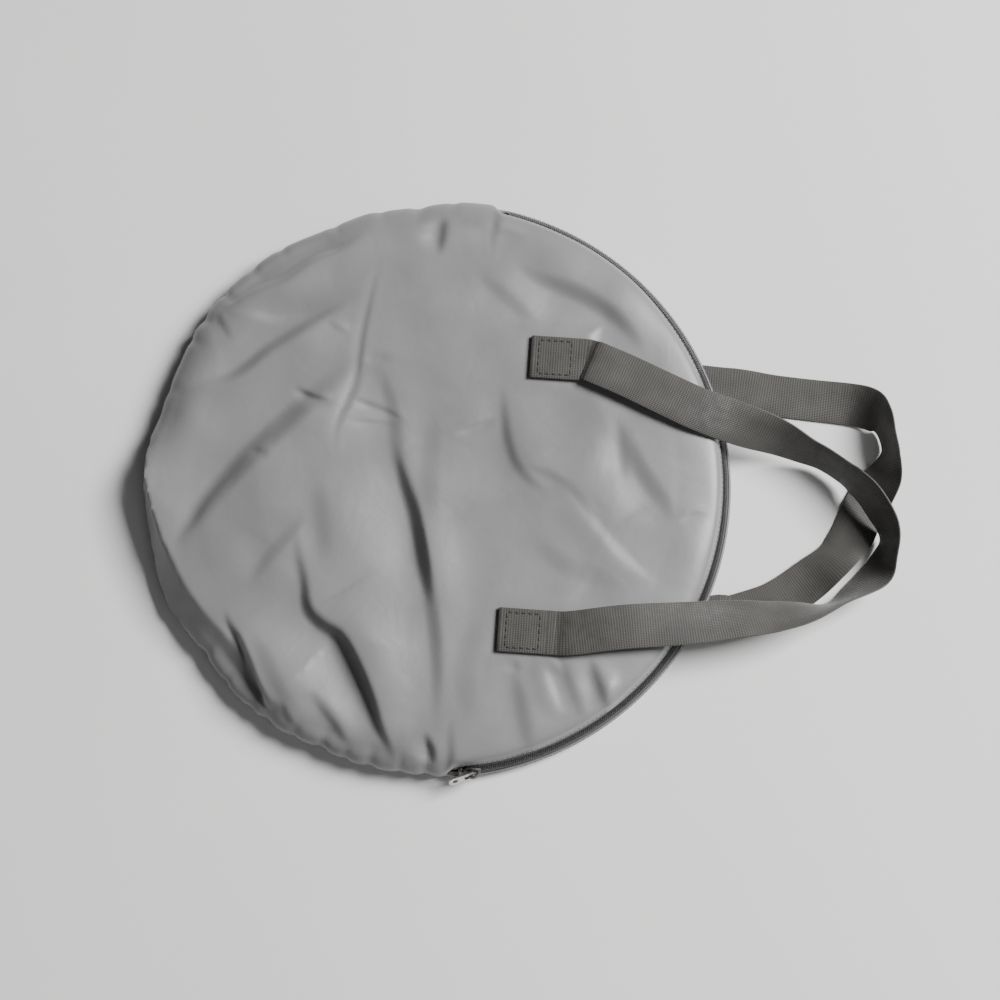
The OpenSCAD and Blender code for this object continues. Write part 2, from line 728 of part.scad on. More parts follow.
module hoop_ferrule() {
  bore = wire_d + 2 * gap;
  color("silver")
    around(ferrule_at - ferrule_deg / 2, ferrule_at + ferrule_deg / 2)
      translate([hoop_r + bundle_r, bundle_h]) difference() {
        circle(d = bore + 2 * ferrule_wall, $fn = 32);
        circle(d = bore, $fn = 32);
      }
}

module closing_strap() {
  bore = bundle_r + sleeve_d / 2 + closer_slack;
  half = closer_w / hoop_r * 90 / PI;
  color("#222222")
    around(-half, half) translate([hoop_r, bundle_h]) difference() {
      circle(r = bore + cloth_t);
      circle(r = bore);
    }
}

module folded_backstop_net() {
  color("#2d3a2f")
    rotate_extrude()
      polygon([[0, net_floor], [net_r - 4, net_floor], [net_r, net_floor + pile_h * 0.3],
        [net_r - 1, net_floor + pile_h * 0.7], [net_r - 6, pile_top], [0, pile_top]]);
}

module target_ring(at) {
  color("orange")
    rotate([0, 0, at]) translate([ring_out, 0, ring_z]) rotate_extrude()
      translate([ring_r, 0]) circle(d = ring_d, $fn = 24);
}

module ball_pocket(at) {
  color("#39453b")
    rotate([0, 0, at]) translate([ring_out, 0, pile_top + rest_gap])
      cylinder(r = ring_r - ring_d / 2 - rest_gap, h = pocket_t);
}

module peg() {
  bend = hook_r + peg_d / 2;
  color("lightgray") {
    translate([0, -peg_l / 2 + peg_d * 2, 0]) rotate([-90, 0, 0])
      cylinder(d = peg_d, h = peg_l - peg_d * 2 - bend, $fn = 24);
    translate([0, -peg_l / 2, 0]) rotate([-90, 0, 0])
      cylinder(d1 = peg_d * 0.3, d2 = peg_d, h = peg_d * 2, $fn = 24);
    translate([bend, peg_l / 2 - bend, 0]) rotate([0, 0, 90]) rotate_extrude(angle = 90)
      translate([bend, 0]) circle(d = peg_d, $fn = 24);
    translate([bend, peg_l / 2, 0]) rotate([0, 90, 0]) cylinder(d = peg_d, h = hook_l, $fn = 24);
  }
}

module ground_pegs() {
  for (k = [0 : pegs - 1])
    translate([peg_x + (k - (pegs - 1) / 2) * peg_step, -k * (peg_d + 0.4), peg_z]) peg();
}

module peg_band() {
  wide = (pegs - 1) * peg_step + peg_d + 2 * rest_gap;
  tall = peg_d + 2 * rest_gap;
  color("#202020")
    translate([peg_x, band_w / 2, peg_z]) rotate([90, 0, 0]) linear_extrude(band_w)
      difference() {
        square([wide + 2 * band_t, tall + 2 * band_t], center = true);
        square([wide, tall], center = true);
      }
}

bottom_panel();
top_panel_back();
top_panel_flap();
rim_seam_allowance();
lower_zip_tape();
lower_zip_teeth();
upper_zip_tape();
upper_zip_teeth();
upper_zip_tape_ends();
upper_zip_teeth_ends();
zip_end_stops();
zip_slider();
zip_pull();
top_handle_strap();
top_handle_sewn_ends();
top_handle_stitching();
under_handle_strap();
under_handle_held_ends();
under_handle_stitching();
hoop_wire();
hoop_sleeve();
hoop_ferrule();
closing_strap();
folded_backstop_net();
target_ring(180);  // target_ring_left
target_ring(ring_turn);  // target_ring_far
target_ring(-ring_turn);  // target_ring_near
ball_pocket(180);  // ball_pocket_left
ball_pocket(ring_turn);  // ball_pocket_far
ball_pocket(-ring_turn);  // ball_pocket_near
ground_pegs();
peg_band();
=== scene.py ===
import json
import math

import bpy
import numpy as np
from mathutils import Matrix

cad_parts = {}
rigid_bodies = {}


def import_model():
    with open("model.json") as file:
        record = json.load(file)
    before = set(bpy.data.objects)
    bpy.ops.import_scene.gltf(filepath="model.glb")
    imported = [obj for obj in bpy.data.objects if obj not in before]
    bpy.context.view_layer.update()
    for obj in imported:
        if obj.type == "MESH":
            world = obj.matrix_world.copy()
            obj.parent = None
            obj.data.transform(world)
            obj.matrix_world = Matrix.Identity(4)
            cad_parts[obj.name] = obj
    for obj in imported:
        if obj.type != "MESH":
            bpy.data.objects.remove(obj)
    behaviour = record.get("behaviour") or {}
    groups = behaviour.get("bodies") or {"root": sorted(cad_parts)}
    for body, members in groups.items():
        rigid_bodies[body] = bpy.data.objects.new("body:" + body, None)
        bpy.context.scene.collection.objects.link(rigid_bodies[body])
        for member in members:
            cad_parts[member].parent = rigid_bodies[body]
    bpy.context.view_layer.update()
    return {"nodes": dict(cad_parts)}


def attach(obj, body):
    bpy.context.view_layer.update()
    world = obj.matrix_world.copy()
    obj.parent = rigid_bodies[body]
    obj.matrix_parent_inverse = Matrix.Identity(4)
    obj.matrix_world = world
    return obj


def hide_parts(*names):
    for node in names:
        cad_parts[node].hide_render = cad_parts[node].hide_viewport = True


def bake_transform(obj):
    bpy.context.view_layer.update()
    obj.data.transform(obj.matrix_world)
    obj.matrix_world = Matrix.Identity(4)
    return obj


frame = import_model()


# Camera. It looks down on the lying bag from a little in front of it, with a 69 mm lens,
# about 1.1 m away, and stands a little to the right of the bag's middle.
bpy.ops.object.select_all(action="DESELECT")
bpy.ops.object.camera_add(location=(0.0528, -0.1969, 1.0896),
                          rotation=(math.radians(10), 0, math.radians(5)))
camera = bpy.context.object
camera.name = "camera"
camera.data.lens = 69.2
camera.data.sensor_width = 36
bpy.context.scene.camera = camera


# Bottom cloth. The lower disc of the bag: coated polyester, cut round, sewn right side in to the
# top cloth along the plain half of the rim and hemmed to the zip's lower tape along the rest.
# It lies flat on the ground, rises over the handle's ends sewn below it and turns up at the rim.
MM = 0.001
CLOTH_T, RIM_R = 0.45, 167.5
TAPE_ENDS = (-80.9, 81.4)  # the angles at which the zip gives way to the plain seam
ZIP_R, ZIP_H, ZIP_TILT = 163.5, 11.5, math.radians(30)  # where the chain runs, and its lean


def mesh_object(name, points, faces, uv=None):
    """A new object from points in millimetres, with an optional UV pair for each point."""
    mesh = bpy.data.meshes.new(name)
    mesh.from_pydata((np.asarray(points, float) * MM).tolist(), [], faces)
    if uv is not None:
        layer = mesh.uv_layers.new(name="UVMap")
        corners = np.empty(len(mesh.loops), int)
        mesh.loops.foreach_get("vertex_index", corners)
        layer.data.foreach_set("uv", np.asarray(uv, float)[corners].ravel())
    made = bpy.data.objects.new(name, mesh)
    bpy.context.scene.collection.objects.link(made)
    return made


def only(piece):
    """Selects one piece and nothing else."""
    bpy.ops.object.select_all(action="DESELECT")
    piece.select_set(True)
    bpy.context.view_layer.objects.active = piece


def apply_modifier(piece, kind, **settings):
    """Adds a modifier to the piece and applies it."""
    only(piece)
    modifier = piece.modifiers.new(kind.lower(), kind)
    for key, value in settings.items():
        setattr(modifier, key, value)
    bpy.ops.object.modifier_apply(modifier=modifier.name)


def smooth(piece, degrees=180):
    """Shades the piece smooth, apart from edges sharper than the angle."""
    only(piece)
    bpy.ops.object.shade_smooth_by_angle(angle=math.radians(degrees))


def ease(x, low, high):
    """0 below low, 1 above high and a smooth step between."""
    t = np.clip((np.asarray(x, float) - low) / (high - low), 0, 1)
    return t * t * (3 - 2 * t)


def zipped(angle):
    """1 where the rim has the zip, 0 where it has the plain seam."""
    angle = np.mod(np.asarray(angle, float) + 180, 360) - 180
    return (ease(angle, TAPE_ENDS[0] - 3, TAPE_ENDS[0])
            - ease(angle, TAPE_ENDS[1], TAPE_ENDS[1] + 3))


def zip_point(out, up):
    """Radius and height of a point of the zip's section: out through its face, up across it."""
    return (ZIP_R + out * math.cos(ZIP_TILT) - up * math.sin(ZIP_TILT),
            ZIP_H + out * math.sin(ZIP_TILT) + up * math.cos(ZIP_TILT))


# how far the plain rim is drawn in from its full radius: angle from +X, distance
drawn_in = np.array([
    (82, 0), (90, -0.7), (100, -4.2), (110, -3), (120, -4.2), (130, -1.4), (140, -0.8),
    (150, -0.5), (160, -3.2), (171, -3.6), (180, 0), (186, 0.5), (195, -1.4), (205, -0.3),
    (211, -0.2), (216, -2.4), (221, -4.2), (226, -3.4), (232, -2), (241, -1.3), (252, -3.1),
    (261, -1.6), (270, -1.9), (277, -0.3), (279, 0)])
# tucks where the cloth was eased into the seam: angle, width in degrees, depth
tucks = [(92, 0.9, 0.8), (99, 1.4, 1.4), (107, 1, 0.9), (117, 1.2, 1.2), (129, 1, 1),
         (136, 1.2, 1.6), (143.5, 1, 1.7), (150, 1.3, 1.9), (155, 0.9, 1.2), (166, 1.2, 0.9),
         (178, 1.3, 1.1), (188, 1, 0.8), (200, 1.2, 0.9), (213, 1, 1), (222, 1.3, 1.5),
         (229, 0.9, 1.2), (236, 1, 1.4), (240, 1.5, 2), (246, 1, 1.4), (252, 1.1, 1.7),
         (257, 0.9, 1.2), (262, 1.2, 1.9), (268, 0.8, 1.2), (273, 1.1, 1.7), (277, 0.7, 1)]


def draw_in(points, angle, share=1):
    """Draws the plain rim of a cloth in where it was eased into the seam, tucks and all."""
    turn = np.mod(np.asarray(angle, float), 360)
    radius = np.hypot(points[:, 0], points[:, 1])
    pull = np.interp(turn, drawn_in[:, 0], drawn_in[:, 1], left=0, right=0)
    depth = 0.15 * np.sin(np.radians(turn * 37)) * np.sin(np.radians(turn * 5.3 + 40))
    for at, wide, deep in tucks:
        depth = depth + 0.6 * deep * np.exp(-((turn - at) / wide) ** 2)
    depth = depth * (1 - zipped(turn)) * share
    points[:, :2] *= (1 + (pull * ease(radius, 140, 160) - depth * ease(radius, 150, 165))
                      / np.maximum(radius, 1))[:, None]


def spread(line, count):
    """Radius and height of points spread evenly along a line of (radius, height)."""
    line = np.asarray(line, float)
    gone = np.concatenate([[0], np.cumsum(np.hypot(*np.diff(line, axis=0).T))])
    at = np.linspace(0, gone[-1], count)
    return np.stack([np.interp(at, gone, line[:, 0]), np.interp(at, gone, line[:, 1])], axis=1)


def quarter(start, end, power=2, steps=20):
    """A quarter round in (radius, height) from a level start to an upright end, squarer with a
    higher power."""
    turns = np.radians(np.linspace(0, 90, steps + 1))[1:]
    return [(start[0] + (end[0] - start[0]) * math.sin(u) ** (2 / power),
             end[1] + (start[1] - end[1]) * max(math.cos(u), 0) ** (2 / power)) for u in turns]


def unit(rows):
    """The rows as directions of length 1."""
    return rows / np.linalg.norm(rows, axis=1)[:, None]


class Disc:
    """A round cloth between its two sections, at the plain seam and at the zip. The number of
    spokes doubles at two radii, so that the faces stay about the same size."""

    def __init__(self, seam, hem, most):
        points, normals, angles, rings = [[[0, 0, seam[0][1]]]], [[[0, 0, 1]]], [[0]], []
        seam_way, hem_way = (np.gradient(line, axis=0) for line in (seam, hem))
        start = 1
        for row in range(1, len(seam)):
            count = most // (4 if seam[row][0] < 30 else 2 if seam[row][0] < 75 else 1)
            angle = np.arange(count) * 360 / count
            w = zipped(angle)[:, None]
            place = (1 - w) * seam[row] + w * hem[row]
            way = unit((1 - w) * seam_way[row] + w * hem_way[row])
            c, s = np.cos(np.radians(angle)), np.sin(np.radians(angle))
            points.append(np.stack([place[:, 0] * c, place[:, 0] * s, place[:, 1]], 1))
            normals.append(np.stack([-way[:, 1] * c, -way[:, 1] * s, way[:, 0]], 1))
            angles.append(angle)
            rings.append((start, count))
            start += count
        self.points, self.normals = np.concatenate(points), np.concatenate(normals)
        self.angles = np.concatenate(angles)
        first = rings[0][1]
        self.faces = [(0, 1 + j, 1 + (j + 1) % first) for j in range(first)]
        for (a, n), (b, m) in zip(rings, rings[1:]):
            k = m // n
            self.faces += [(a + j, *[b + (j * k + i) % m for i in range(k + 1)], a + (j + 1) % n)
                           for j in range(n)]


base = [(0, 0.05), (146, 0.05)]
lower = Disc(
    np.concatenate([spread(base + quarter(base[-1], (166.8, 7)), 70),
                    spread([(166.8, 8), (166.3, 9), (165.4, 9.4), (159, 9.45)], 9)]),
    np.concatenate([spread(base + quarter(base[-1], zip_point(0.9, -7)), 70),
                    spread([zip_point(0.88, -6.2), zip_point(0.8, -5.3), zip_point(0.6, -5.1),
                            zip_point(0.4, -5.3), zip_point(0.34, -6.8)], 9)]), 448)
points = lower.points
draw_in(points, lower.angles, 1.05)
# it rises over the under handle's two runs and over its doubled ends
for x0, x1, y0, y1, top in ((74, 158, 74, 71.5, 1.65), (69, 165, -82.5, -61.5, 1.65),
                            (47, 74, 74, 74, 3.05), (42, 69, -82.5, -82.5, 3.05)):
    middle = y0 + (y1 - y0) * np.clip((points[:, 0] - x0) / (x1 - x0), 0, 1)
    over = ease(-np.abs(points[:, 1] - middle), -17.5, -13) * ease(points[:, 0], x0 - 5, x0 - 0.6)
    if x1 < 100:
        over *= 1 - ease(points[:, 0], x1 + 1, x1 + 6)
    points[:, 2] = np.maximum(points[:, 2], top * over)
radius = np.hypot(points[:, 0], points[:, 1])
ripple = 1 + 0.5 * (np.sin(points[:, 0] / 23 + 1.3) * np.sin(points[:, 1] / 31)
                    + np.sin(points[:, 0] / 11) * np.sin(points[:, 1] / 14 + 2))
points[:, 2] += 0.25 * ripple * (1 - ease(radius, 130, 150)) * ease(-points[:, 0], -40, 20)
bottom_cloth = mesh_object("bottom_cloth", points, [f[::-1] for f in lower.faces])
apply_modifier(bottom_cloth, "SOLIDIFY", thickness=CLOTH_T * MM, offset=-1)
smooth(bottom_cloth, 60)


def shader_node(made, kind, inputs=None, **settings):
    """A new node in a material: inputs are socket values or outputs to link, by socket name."""
    node = made.node_tree.nodes.new(kind)
    for key, value in settings.items():
        setattr(node, key, value)
    for key, value in (inputs or {}).items():
        if isinstance(value, bpy.types.NodeSocket):
            made.node_tree.links.new(value, node.inputs[key])
        else:
            node.inputs[key].default_value = value
    return node


def finish_of(name, tones, rough, grain, bumps=(), place="Object", bands=None, **sockets):
    """A finish: a colour that wanders between two tones and a roughness between two values, over
    noise of the grain's scale, and bump layers of (texture, scale, strength, depth). bands is
    the direction, scale and darkness of stripes darkened into the colour along woven ribs; on the
    webbing they are painted shade in the rib grooves and painted highlight on the rib crowns."""
    made = bpy.data.materials.new(name)
    made.use_nodes = True
    links = made.node_tree.links
    shader = made.node_tree.nodes["Principled BSDF"]
    for key, value in sockets.items():
        shader.inputs[key.replace("_", " ")].default_value = value
    where = shader_node(made, "ShaderNodeTexCoord").outputs[place]
    noise = shader_node(made, "ShaderNodeTexNoise",
                        {"Vector": where, "Scale": grain, "Detail": 5.0, "Roughness": 0.55})
    ramp = shader_node(made, "ShaderNodeValToRGB", {"Fac": noise.outputs["Fac"]})
    for stop, at, tone in zip(ramp.color_ramp.elements, (0.3, 0.7), tones):
        stop.position, stop.color = at, (*tone, 1)
    colour = ramp.outputs["Color"]
    # stripes darkened into the colour along the ribs: for the webbing, painted shade in the rib
    # grooves and painted highlight on the crowns
    if bands:
        way, size, dark = bands
        rib = shader_node(made, "ShaderNodeTexWave", {"Vector": where, "Scale": size},
                          bands_direction=way)
        shade = shader_node(made, "ShaderNodeMapRange",
                            {"Value": rib.outputs["Fac"], "To Min": dark, "To Max": 1.0})
        mixed = shader_node(made, "ShaderNodeVectorMath",
                            {"Scale": shade.outputs["Result"]}, operation="SCALE")
        links.new(colour, mixed.inputs[0])
        colour = mixed.outputs["Vector"]
    wear = shader_node(made, "ShaderNodeTexNoise", {"Vector": where, "Scale": grain * 4})
    gloss = shader_node(made, "ShaderNodeMapRange", {
        "Value": wear.outputs["Fac"], "From Min": 0.35, "From Max": 0.65,
        "To Min": rough[0], "To Max": rough[1]})
    links.new(colour, shader.inputs["Base Color"])
    links.new(gloss.outputs["Result"], shader.inputs["Roughness"])
    normal = None
    for kind, size, strength, deep in bumps:
        if kind.startswith("bands"):
            texture = shader_node(made, "ShaderNodeTexWave", {
                "Vector": where, "Scale": size, "Distortion": 0.3},
                bands_direction=kind.split()[1])
        elif kind == "cells":
            texture = shader_node(made, "ShaderNodeTexVoronoi", {"Vector": where, "Scale": size})
        else:
            texture = shader_node(made, "ShaderNodeTexNoise", {
                "Vector": where, "Scale": size, "Detail": 6.0, "Distortion": 0.5})
        bump = shader_node(made, "ShaderNodeBump", {
            "Height": texture.outputs[0], "Strength": strength, "Distance": deep})
        if normal:
            links.new(normal, bump.inputs["Normal"])
        normal = bump.outputs["Normal"]
    if normal:
        links.new(normal, shader.inputs["Normal"])
    return made


# where a soft piece bends between two bodies, from a start to an end, in metres
BENDS = {"fold": ("bag", "flap", (0.033, 0, 0), (0.0415, 0, 0)),
         "top_handle": ("flap", "top_handle", (0.07405, 0.074, 0), (0.08105, 0.07378, 0)),
         "under_handle": ("bag", "under_handle", (0.15805, 0.0715, 0), (0.16604, 0.07192, 0))}


def settle(piece, finish, slot, body, *replaced):
    """Gives a piece its finish and ties it to the body it moves with, or for a bend only bakes its
    place into its points, and hides the CAD nodes it stands for.
    """
    piece.data.materials.append(finish)
    if body in BENDS:
        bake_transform(piece)
    else:
        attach(piece, body)
    if replaced:
        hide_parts(*replaced)


# satin polyester: fine plain weave, faint handling creases, an uneven tone; the mid-grey tones are
# lighter than the black cloth itself, its own dark colour with painted sheen added to stand for
# the satin's reflection of the light
cloth = finish_of("bag_cloth", [(0.186, 0.184, 0.189), (0.219, 0.216, 0.222)], (0.38, 0.47), 9,
                  [("noise", 38, 0.35, 0.0012), ("noise", 160, 0.2, 0.0003),
                   ("bands X", 640, 0.12, 0.0001), ("bands Y", 640, 0.12, 0.0001)],
                  Sheen_Weight=0.15, Sheen_Roughness=0.4, Specular_IOR_Level=0.6)
settle(bottom_cloth, cloth, "bag_cloth", "bag", "bottom_panel")


# Under handle. Polypropylene webbing, 25 mm wide, woven with ribs across it. Its ends are folded
# under and box-stitched to the outside of the bottom cloth; the loop leaves below the zip, lies
# on the ground and turns on its edge where it bends round.
WEB_W, WEB_T, RIB = 24.8, 1.36, 1.43
HANDLE_ENDS = (("far", 74, 74), ("near", 69, -82.5))  # where the loops leave their sewn ends
web_section = np.array([  # across and up, as shares of the half width and half thickness
    (1, 0), (0.985, 0.62), (0.94, 0.96), (0.34, 1), (-0.34, 1), (-0.94, 0.96), (-0.985, 0.62),
    (-1, 0), (-0.985, -0.62), (-0.94, -0.96), (-0.34, -1), (0.34, -1), (0.94, -0.96),
    (0.985, -0.62)])


def skin(rings, looped=False):
    """Faces of a skin through rings of the same number of points, capped unless it is a loop."""
    count, n = rings.shape[:2]
    faces = [(i * n + k, i * n + (k + 1) % n, (i + 1) % count * n + (k + 1) % n,
              (i + 1) % count * n + k) for i in range(count if looped else count - 1)
             for k in range(n)]
    if not looped:
        faces += [tuple(range(n))[::-1], tuple((count - 1) * n + k for k in range(n))]
    return faces


def even_steps(route, step):
    """The smooth line through a route's points, as rows a step apart, and their distances."""
    p = np.asarray(route, float)
    u = np.linspace(0, 1, 24, endpoint=False)[:, None]
    rows = []
    for i in range(len(p) - 1):
        a, b, c, d = p[max(i - 1, 0)], p[i], p[i + 1], p[min(i + 2, len(p) - 1)]
        rows.append(0.5 * (2 * b + (c - a) * u + (2 * a - 5 * b + 4 * c - d) * u ** 2
                           + (3 * b - a - 3 * c + d) * u ** 3))
    rows = np.concatenate(rows + [p[-1:]])
    gone = np.concatenate([[0], np.cumsum(np.linalg.norm(np.diff(rows[:, :3], axis=0), axis=1))])
    at = np.arange(0, gone[-1], step)
    return np.stack([np.interp(at, gone, rows[:, k]) for k in range(p.shape[1])], 1), at


def ribbon(name, middle, across, gone, wide=WEB_W, thick=WEB_T, rib=RIB, deep=0.13):
    """A woven band along a line, with its ribs cut into both faces."""
    up = np.cross(unit(np.gradient(middle, axis=0)), across)
    groove = 0.5 + 0.5 * np.cos(2 * math.pi * gone / rib)
    half = np.stack([wide / 2 - 0.12 * groove, thick / 2 * (1 - deep * groove)], 1)
    shape = web_section[None] * half[:, None]
    rings = (middle[:, None] + across[:, None] * shape[..., :1] + up[:, None] * shape[..., 1:])
    uv = np.stack([np.repeat(gone[:, None], len(web_section), 1), shape[..., 0]], -1) * MM
    made = mesh_object(name, rings.reshape(-1, 3), skin(rings), uv.reshape(-1, 2))
    smooth(made, 50)
    return made


def strap(name, route):
    """A handle's webbing along its route of x, y, z and lean."""
    rows, gone = even_steps(route, RIB / 4)
    way = unit(np.gradient(rows[:, :3], axis=0))
    level = unit(np.stack([-way[:, 1], way[:, 0], 0 * way[:, 0]], 1))
    lean = np.radians(rows[:, 3])[:, None]
    return ribbon(name, rows[:, :3], level * np.cos(lean) + np.cross(way, level) * np.sin(lean),
                  gone)


def folded_end(name, x, y, z, turn, beyond=()):
    """A sewn end: webbing doubled under itself, its fold towards the middle of the bag. The lower
    ply may run on through points beyond the end."""
    low, high, bend = 0.69, 2.09, 26.3  # the middle height of each ply, and where the fold begins
    middle, half = (low + high) / 2, (high - low) / 2
    line = [(px, py, low) for px, py in beyond] + [(-s, 0, low) for s in np.arange(0, bend, 3)]
    line += [(-bend - half * math.sin(a), 0, middle - half * math.cos(a))
             for a in np.radians(range(0, 181, 30))]
    line += [(-s, 0, high) for s in np.arange(bend - 2, -0.1, -3)] + [(0, 0, high)]
    rows, gone = even_steps(line, RIB / 4)
    c, s = math.cos(math.radians(turn)), math.sin(math.radians(turn))
    spot = np.stack([x + rows[:, 0] * c - rows[:, 1] * s, y + rows[:, 0] * s + rows[:, 1] * c,
                     z + rows[:, 2]], 1)
    return ribbon(name, spot, np.tile([-s, c, 0.0], (len(spot), 1)), gone)


under_route = [
    (157.7, 71.5, 0.85, 0), (162, 71.5, 0.85, 0), (166, 71.5, 0.85, 0), (174, 71, 0.85, 0),
    (189, 69.5, 0.95, 0), (211, 68.5, 1.35, 2), (233, 67.5, 3.2, 9), (244, 64.5, 8, 32),
    (250, 58.5, 12.4, 66), (254, 48.5, 13.3, 80), (256, 38, 12.9, 74), (254, 26, 9.5, 40),
    (248, 14.5, 2.6, 6), (244, 5.5, 1.6, 1), (239, -8.5, 2.8, 8), (233, -18.5, 6.6, 28),
    (226, -27, 7, 28), (216, -36.5, 3.6, 10), (206, -45, 1.8, 3), (195, -52.5, 1.2, 0),
    (181, -58.5, 0.85, 0), (173, -61.5, 0.85, 0), (169, -61.5, 0.85, 0), (164.7, -61.5, 0.85, 0)]
under_handle = strap("under_handle_webbing", under_route)
webbing = finish_of("webbing", [(0.054, 0.05, 0.045), (0.083, 0.077, 0.07)], (0.5, 0.66), 60,
                    [("bands Y", 330, 0.5, 0.0002), ("noise", 900, 0.4, 0.0002)], "UV",
                    # a wave texture's bands lie pi / 10 / scale apart; here they are painted shade
                    # in the grooves between the ribs, and a painted highlight on the rib crowns
                    bands=("X", math.pi / 10 / (RIB * MM), 0.5),
                    Sheen_Weight=0.25, Sheen_Roughness=0.5)
settle(under_handle, webbing, "webbing", "under_handle", "under_handle_strap")
under_runs = {"far": [(84, -2.5), (60, -1.8), (30, -0.9), (6, -0.2)],
              "near": [(96, 21), (70, 15.3), (40, 8.75), (8, 1.75), (4, 0.5)]}
for side, x, y in HANDLE_ENDS:
    settle(folded_end("under_handle_end_" + side, x, y, 0.1, 0, under_runs[side]),
           webbing, "webbing", "bag", "under_handle_held_ends")


def bar_shape(radius, length, edge, cut=None, **place):
    """Points and faces of a small six-sided bar with its edges cut off."""
    bpy.ops.object.select_all(action="DESELECT")
    bpy.ops.mesh.primitive_cylinder_add(vertices=6, radius=radius, depth=length,
                                        end_fill_type="NGON", **place)
    bar = bpy.context.object
    bpy.ops.object.transform_apply()
    bpy.ops.object.mode_set(mode="EDIT")
    bpy.ops.mesh.select_all(action="SELECT")
    bpy.ops.mesh.bevel(offset=edge, segments=1, affect="EDGES")
    if cut:
        bpy.ops.mesh.bisect(plane_co=cut, plane_no=(0, 0, 1))
    bpy.ops.object.mode_set(mode="OBJECT")
    points = np.array([v.co for v in bar.data.vertices])
    faces = [tuple(f.vertices) for f in bar.data.polygons]
    bpy.data.objects.remove(bar)
    return points, faces


def repeated(name, shape, places):
    """One piece of many copies of a shape, each at an origin with three axes."""
    base, faces = shape
    spots = [np.asarray(o) + base @ np.asarray(axes, float) for o, axes in places]
    return mesh_object(name, np.concatenate(spots),
                       [tuple(i + k * len(base) for i in f) for k in range(len(spots))
                        for f in faces])


# one stitch along X, 1 mm long and 1 mm thick, whose ends dip into the cloth
STITCH = bar_shape(0.5, 1, 0.22, rotation=(0, math.pi / 2, 0))
STITCH[0][:, 2] -= 0.28 * (2 * STITCH[0][:, 0]) ** 4
STITCH_L, THREAD_W, SIDE_STITCHES = 2.7, 1.15, 5
BOX_FROM, BOX_TO, BOX_W = -22.8, -4.4, 19.4  # the box's start and end along a sewn end, its width


def box_stitches(x, y, z, turn, face=1):
    """Places of a box of stitches on a sewn end, whose loop side is at x, y."""
    c, s = math.cos(math.radians(turn)), math.sin(math.radians(turn))
    found = []
    for share in (np.arange(SIDE_STITCHES) + 0.5) / SIDE_STITCHES:
        found += [(BOX_FROM + (BOX_TO - BOX_FROM) * share, v, 0) for v in (-BOX_W / 2, BOX_W / 2)]
        found += [(u, BOX_W * (share - 0.5), 1) for u in (BOX_FROM, BOX_TO)]
    for u, v, crosswise in found:
        way = (-s, c, 0) if crosswise else (c, s, 0)
        side = (-c, -s, 0) if crosswise else (-s, c, 0)
        yield ((x + u * c - v * s, y + u * s + v * c, z),
               (np.array(way) * STITCH_L, np.array(side) * THREAD_W, (0, 0, 0.7 * face)))


thread = finish_of("thread", [(0.01, 0.0095, 0.009), (0.022, 0.021, 0.019)], (0.45, 0.6), 300,
                   [("bands X", 900, 0.6, 0.0001)], Sheen_Weight=0.2)
under_stitches = repeated("under_handle_stitches", STITCH, [
    place for _, x, y in HANDLE_ENDS for place in box_stitches(x, y, 0.36, 0, -1)])
only(under_stitches)
bpy.ops.object.mode_set(mode="EDIT")
bpy.ops.mesh.select_all(action="SELECT")
bpy.ops.mesh.normals_make_consistent(inside=False)
bpy.ops.object.mode_set(mode="OBJECT")
smooth(under_stitches)
settle(under_stitches, thread, "thread", "bag", "under_handle_stitching")


# Hoop. Spring steel wire in a sewn cloth sleeve, wound into three loops that lie round the inside
# of the rim. A crimped ferrule joins the ends of the wire, and an elastic strap holds the loops.
HOOP_R, BUNDLE_R, BUNDLE_H, FERRULE_AT = 147, 3.9, 10.2, -45
WIRE_FROM, SLEEVE_FROM = 0.23, 4.8  # degrees from the ferrule's middle to where each begins


def winding(start, step=0.8):
    """The middle line of the three loops, from an angle past the ferrule to the same before it."""
    a = np.radians(np.arange(start, 1080 - start + step / 2, step))
    b, c = a / 3, a + math.radians(FERRULE_AT)
    r = HOOP_R + BUNDLE_R * np.cos(b)
    return np.stack([r * np.cos(c), r * np.sin(c), BUNDLE_H + BUNDLE_R * np.sin(b)], 1)


def tube(name, middle, radius, sides=12, looped=False):
    """A round tube along a line, of one radius or of a radius for each ring and side."""
    way = unit(np.roll(middle, -1, 0) - np.roll(middle, 1, 0) if looped
               else np.gradient(middle, axis=0))
    out = unit(np.cross(way, (0, 0, 1.0)))
    up = np.cross(out, way)
    q = np.radians(np.arange(sides) * 360 / sides)
    radius = np.broadcast_to(radius, (len(middle), sides))[..., None]
    rings = middle[:, None] + radius * (out[:, None] * np.cos(q)[:, None]
                                        + up[:, None] * np.sin(q)[:, None])
    length = np.concatenate([[0], np.cumsum(np.linalg.norm(np.diff(middle, axis=0), axis=1))])
    uv = np.stack([np.repeat(length[:, None], sides, 1) * MM,
                   np.repeat(q[None] / 2 / math.pi * 0.02, len(middle), 0)], -1)
    made = mesh_object(name, rings.reshape(-1, 3), [f[::-1] for f in skin(rings, looped)],
                       uv.reshape(-1, 2))
    smooth(made, 60)
    return made


def sleeve_radius(length, sides, full, seam=0.35):
    """Radius of a sewn sleeve: soft rucks along it and a seam down one side."""
    s = length[:, None]
    q = np.arange(sides)[None] * 2 * math.pi / sides
    ruck = (np.sin(s / 3.1 + 2 * np.sin(s / 17)) * np.sin(q + s / 9)
            + 0.6 * np.sin(s / 1.7 + q * 2)) * 0.06
    ridge = seam * np.exp(-((np.mod(q + math.pi, 2 * math.pi) - math.pi - 0.5) / 0.35) ** 2)
    return full - 0.14 + ruck + ridge * (0.8 + 0.2 * np.sin(s * 2.2)) - seam * 0.7


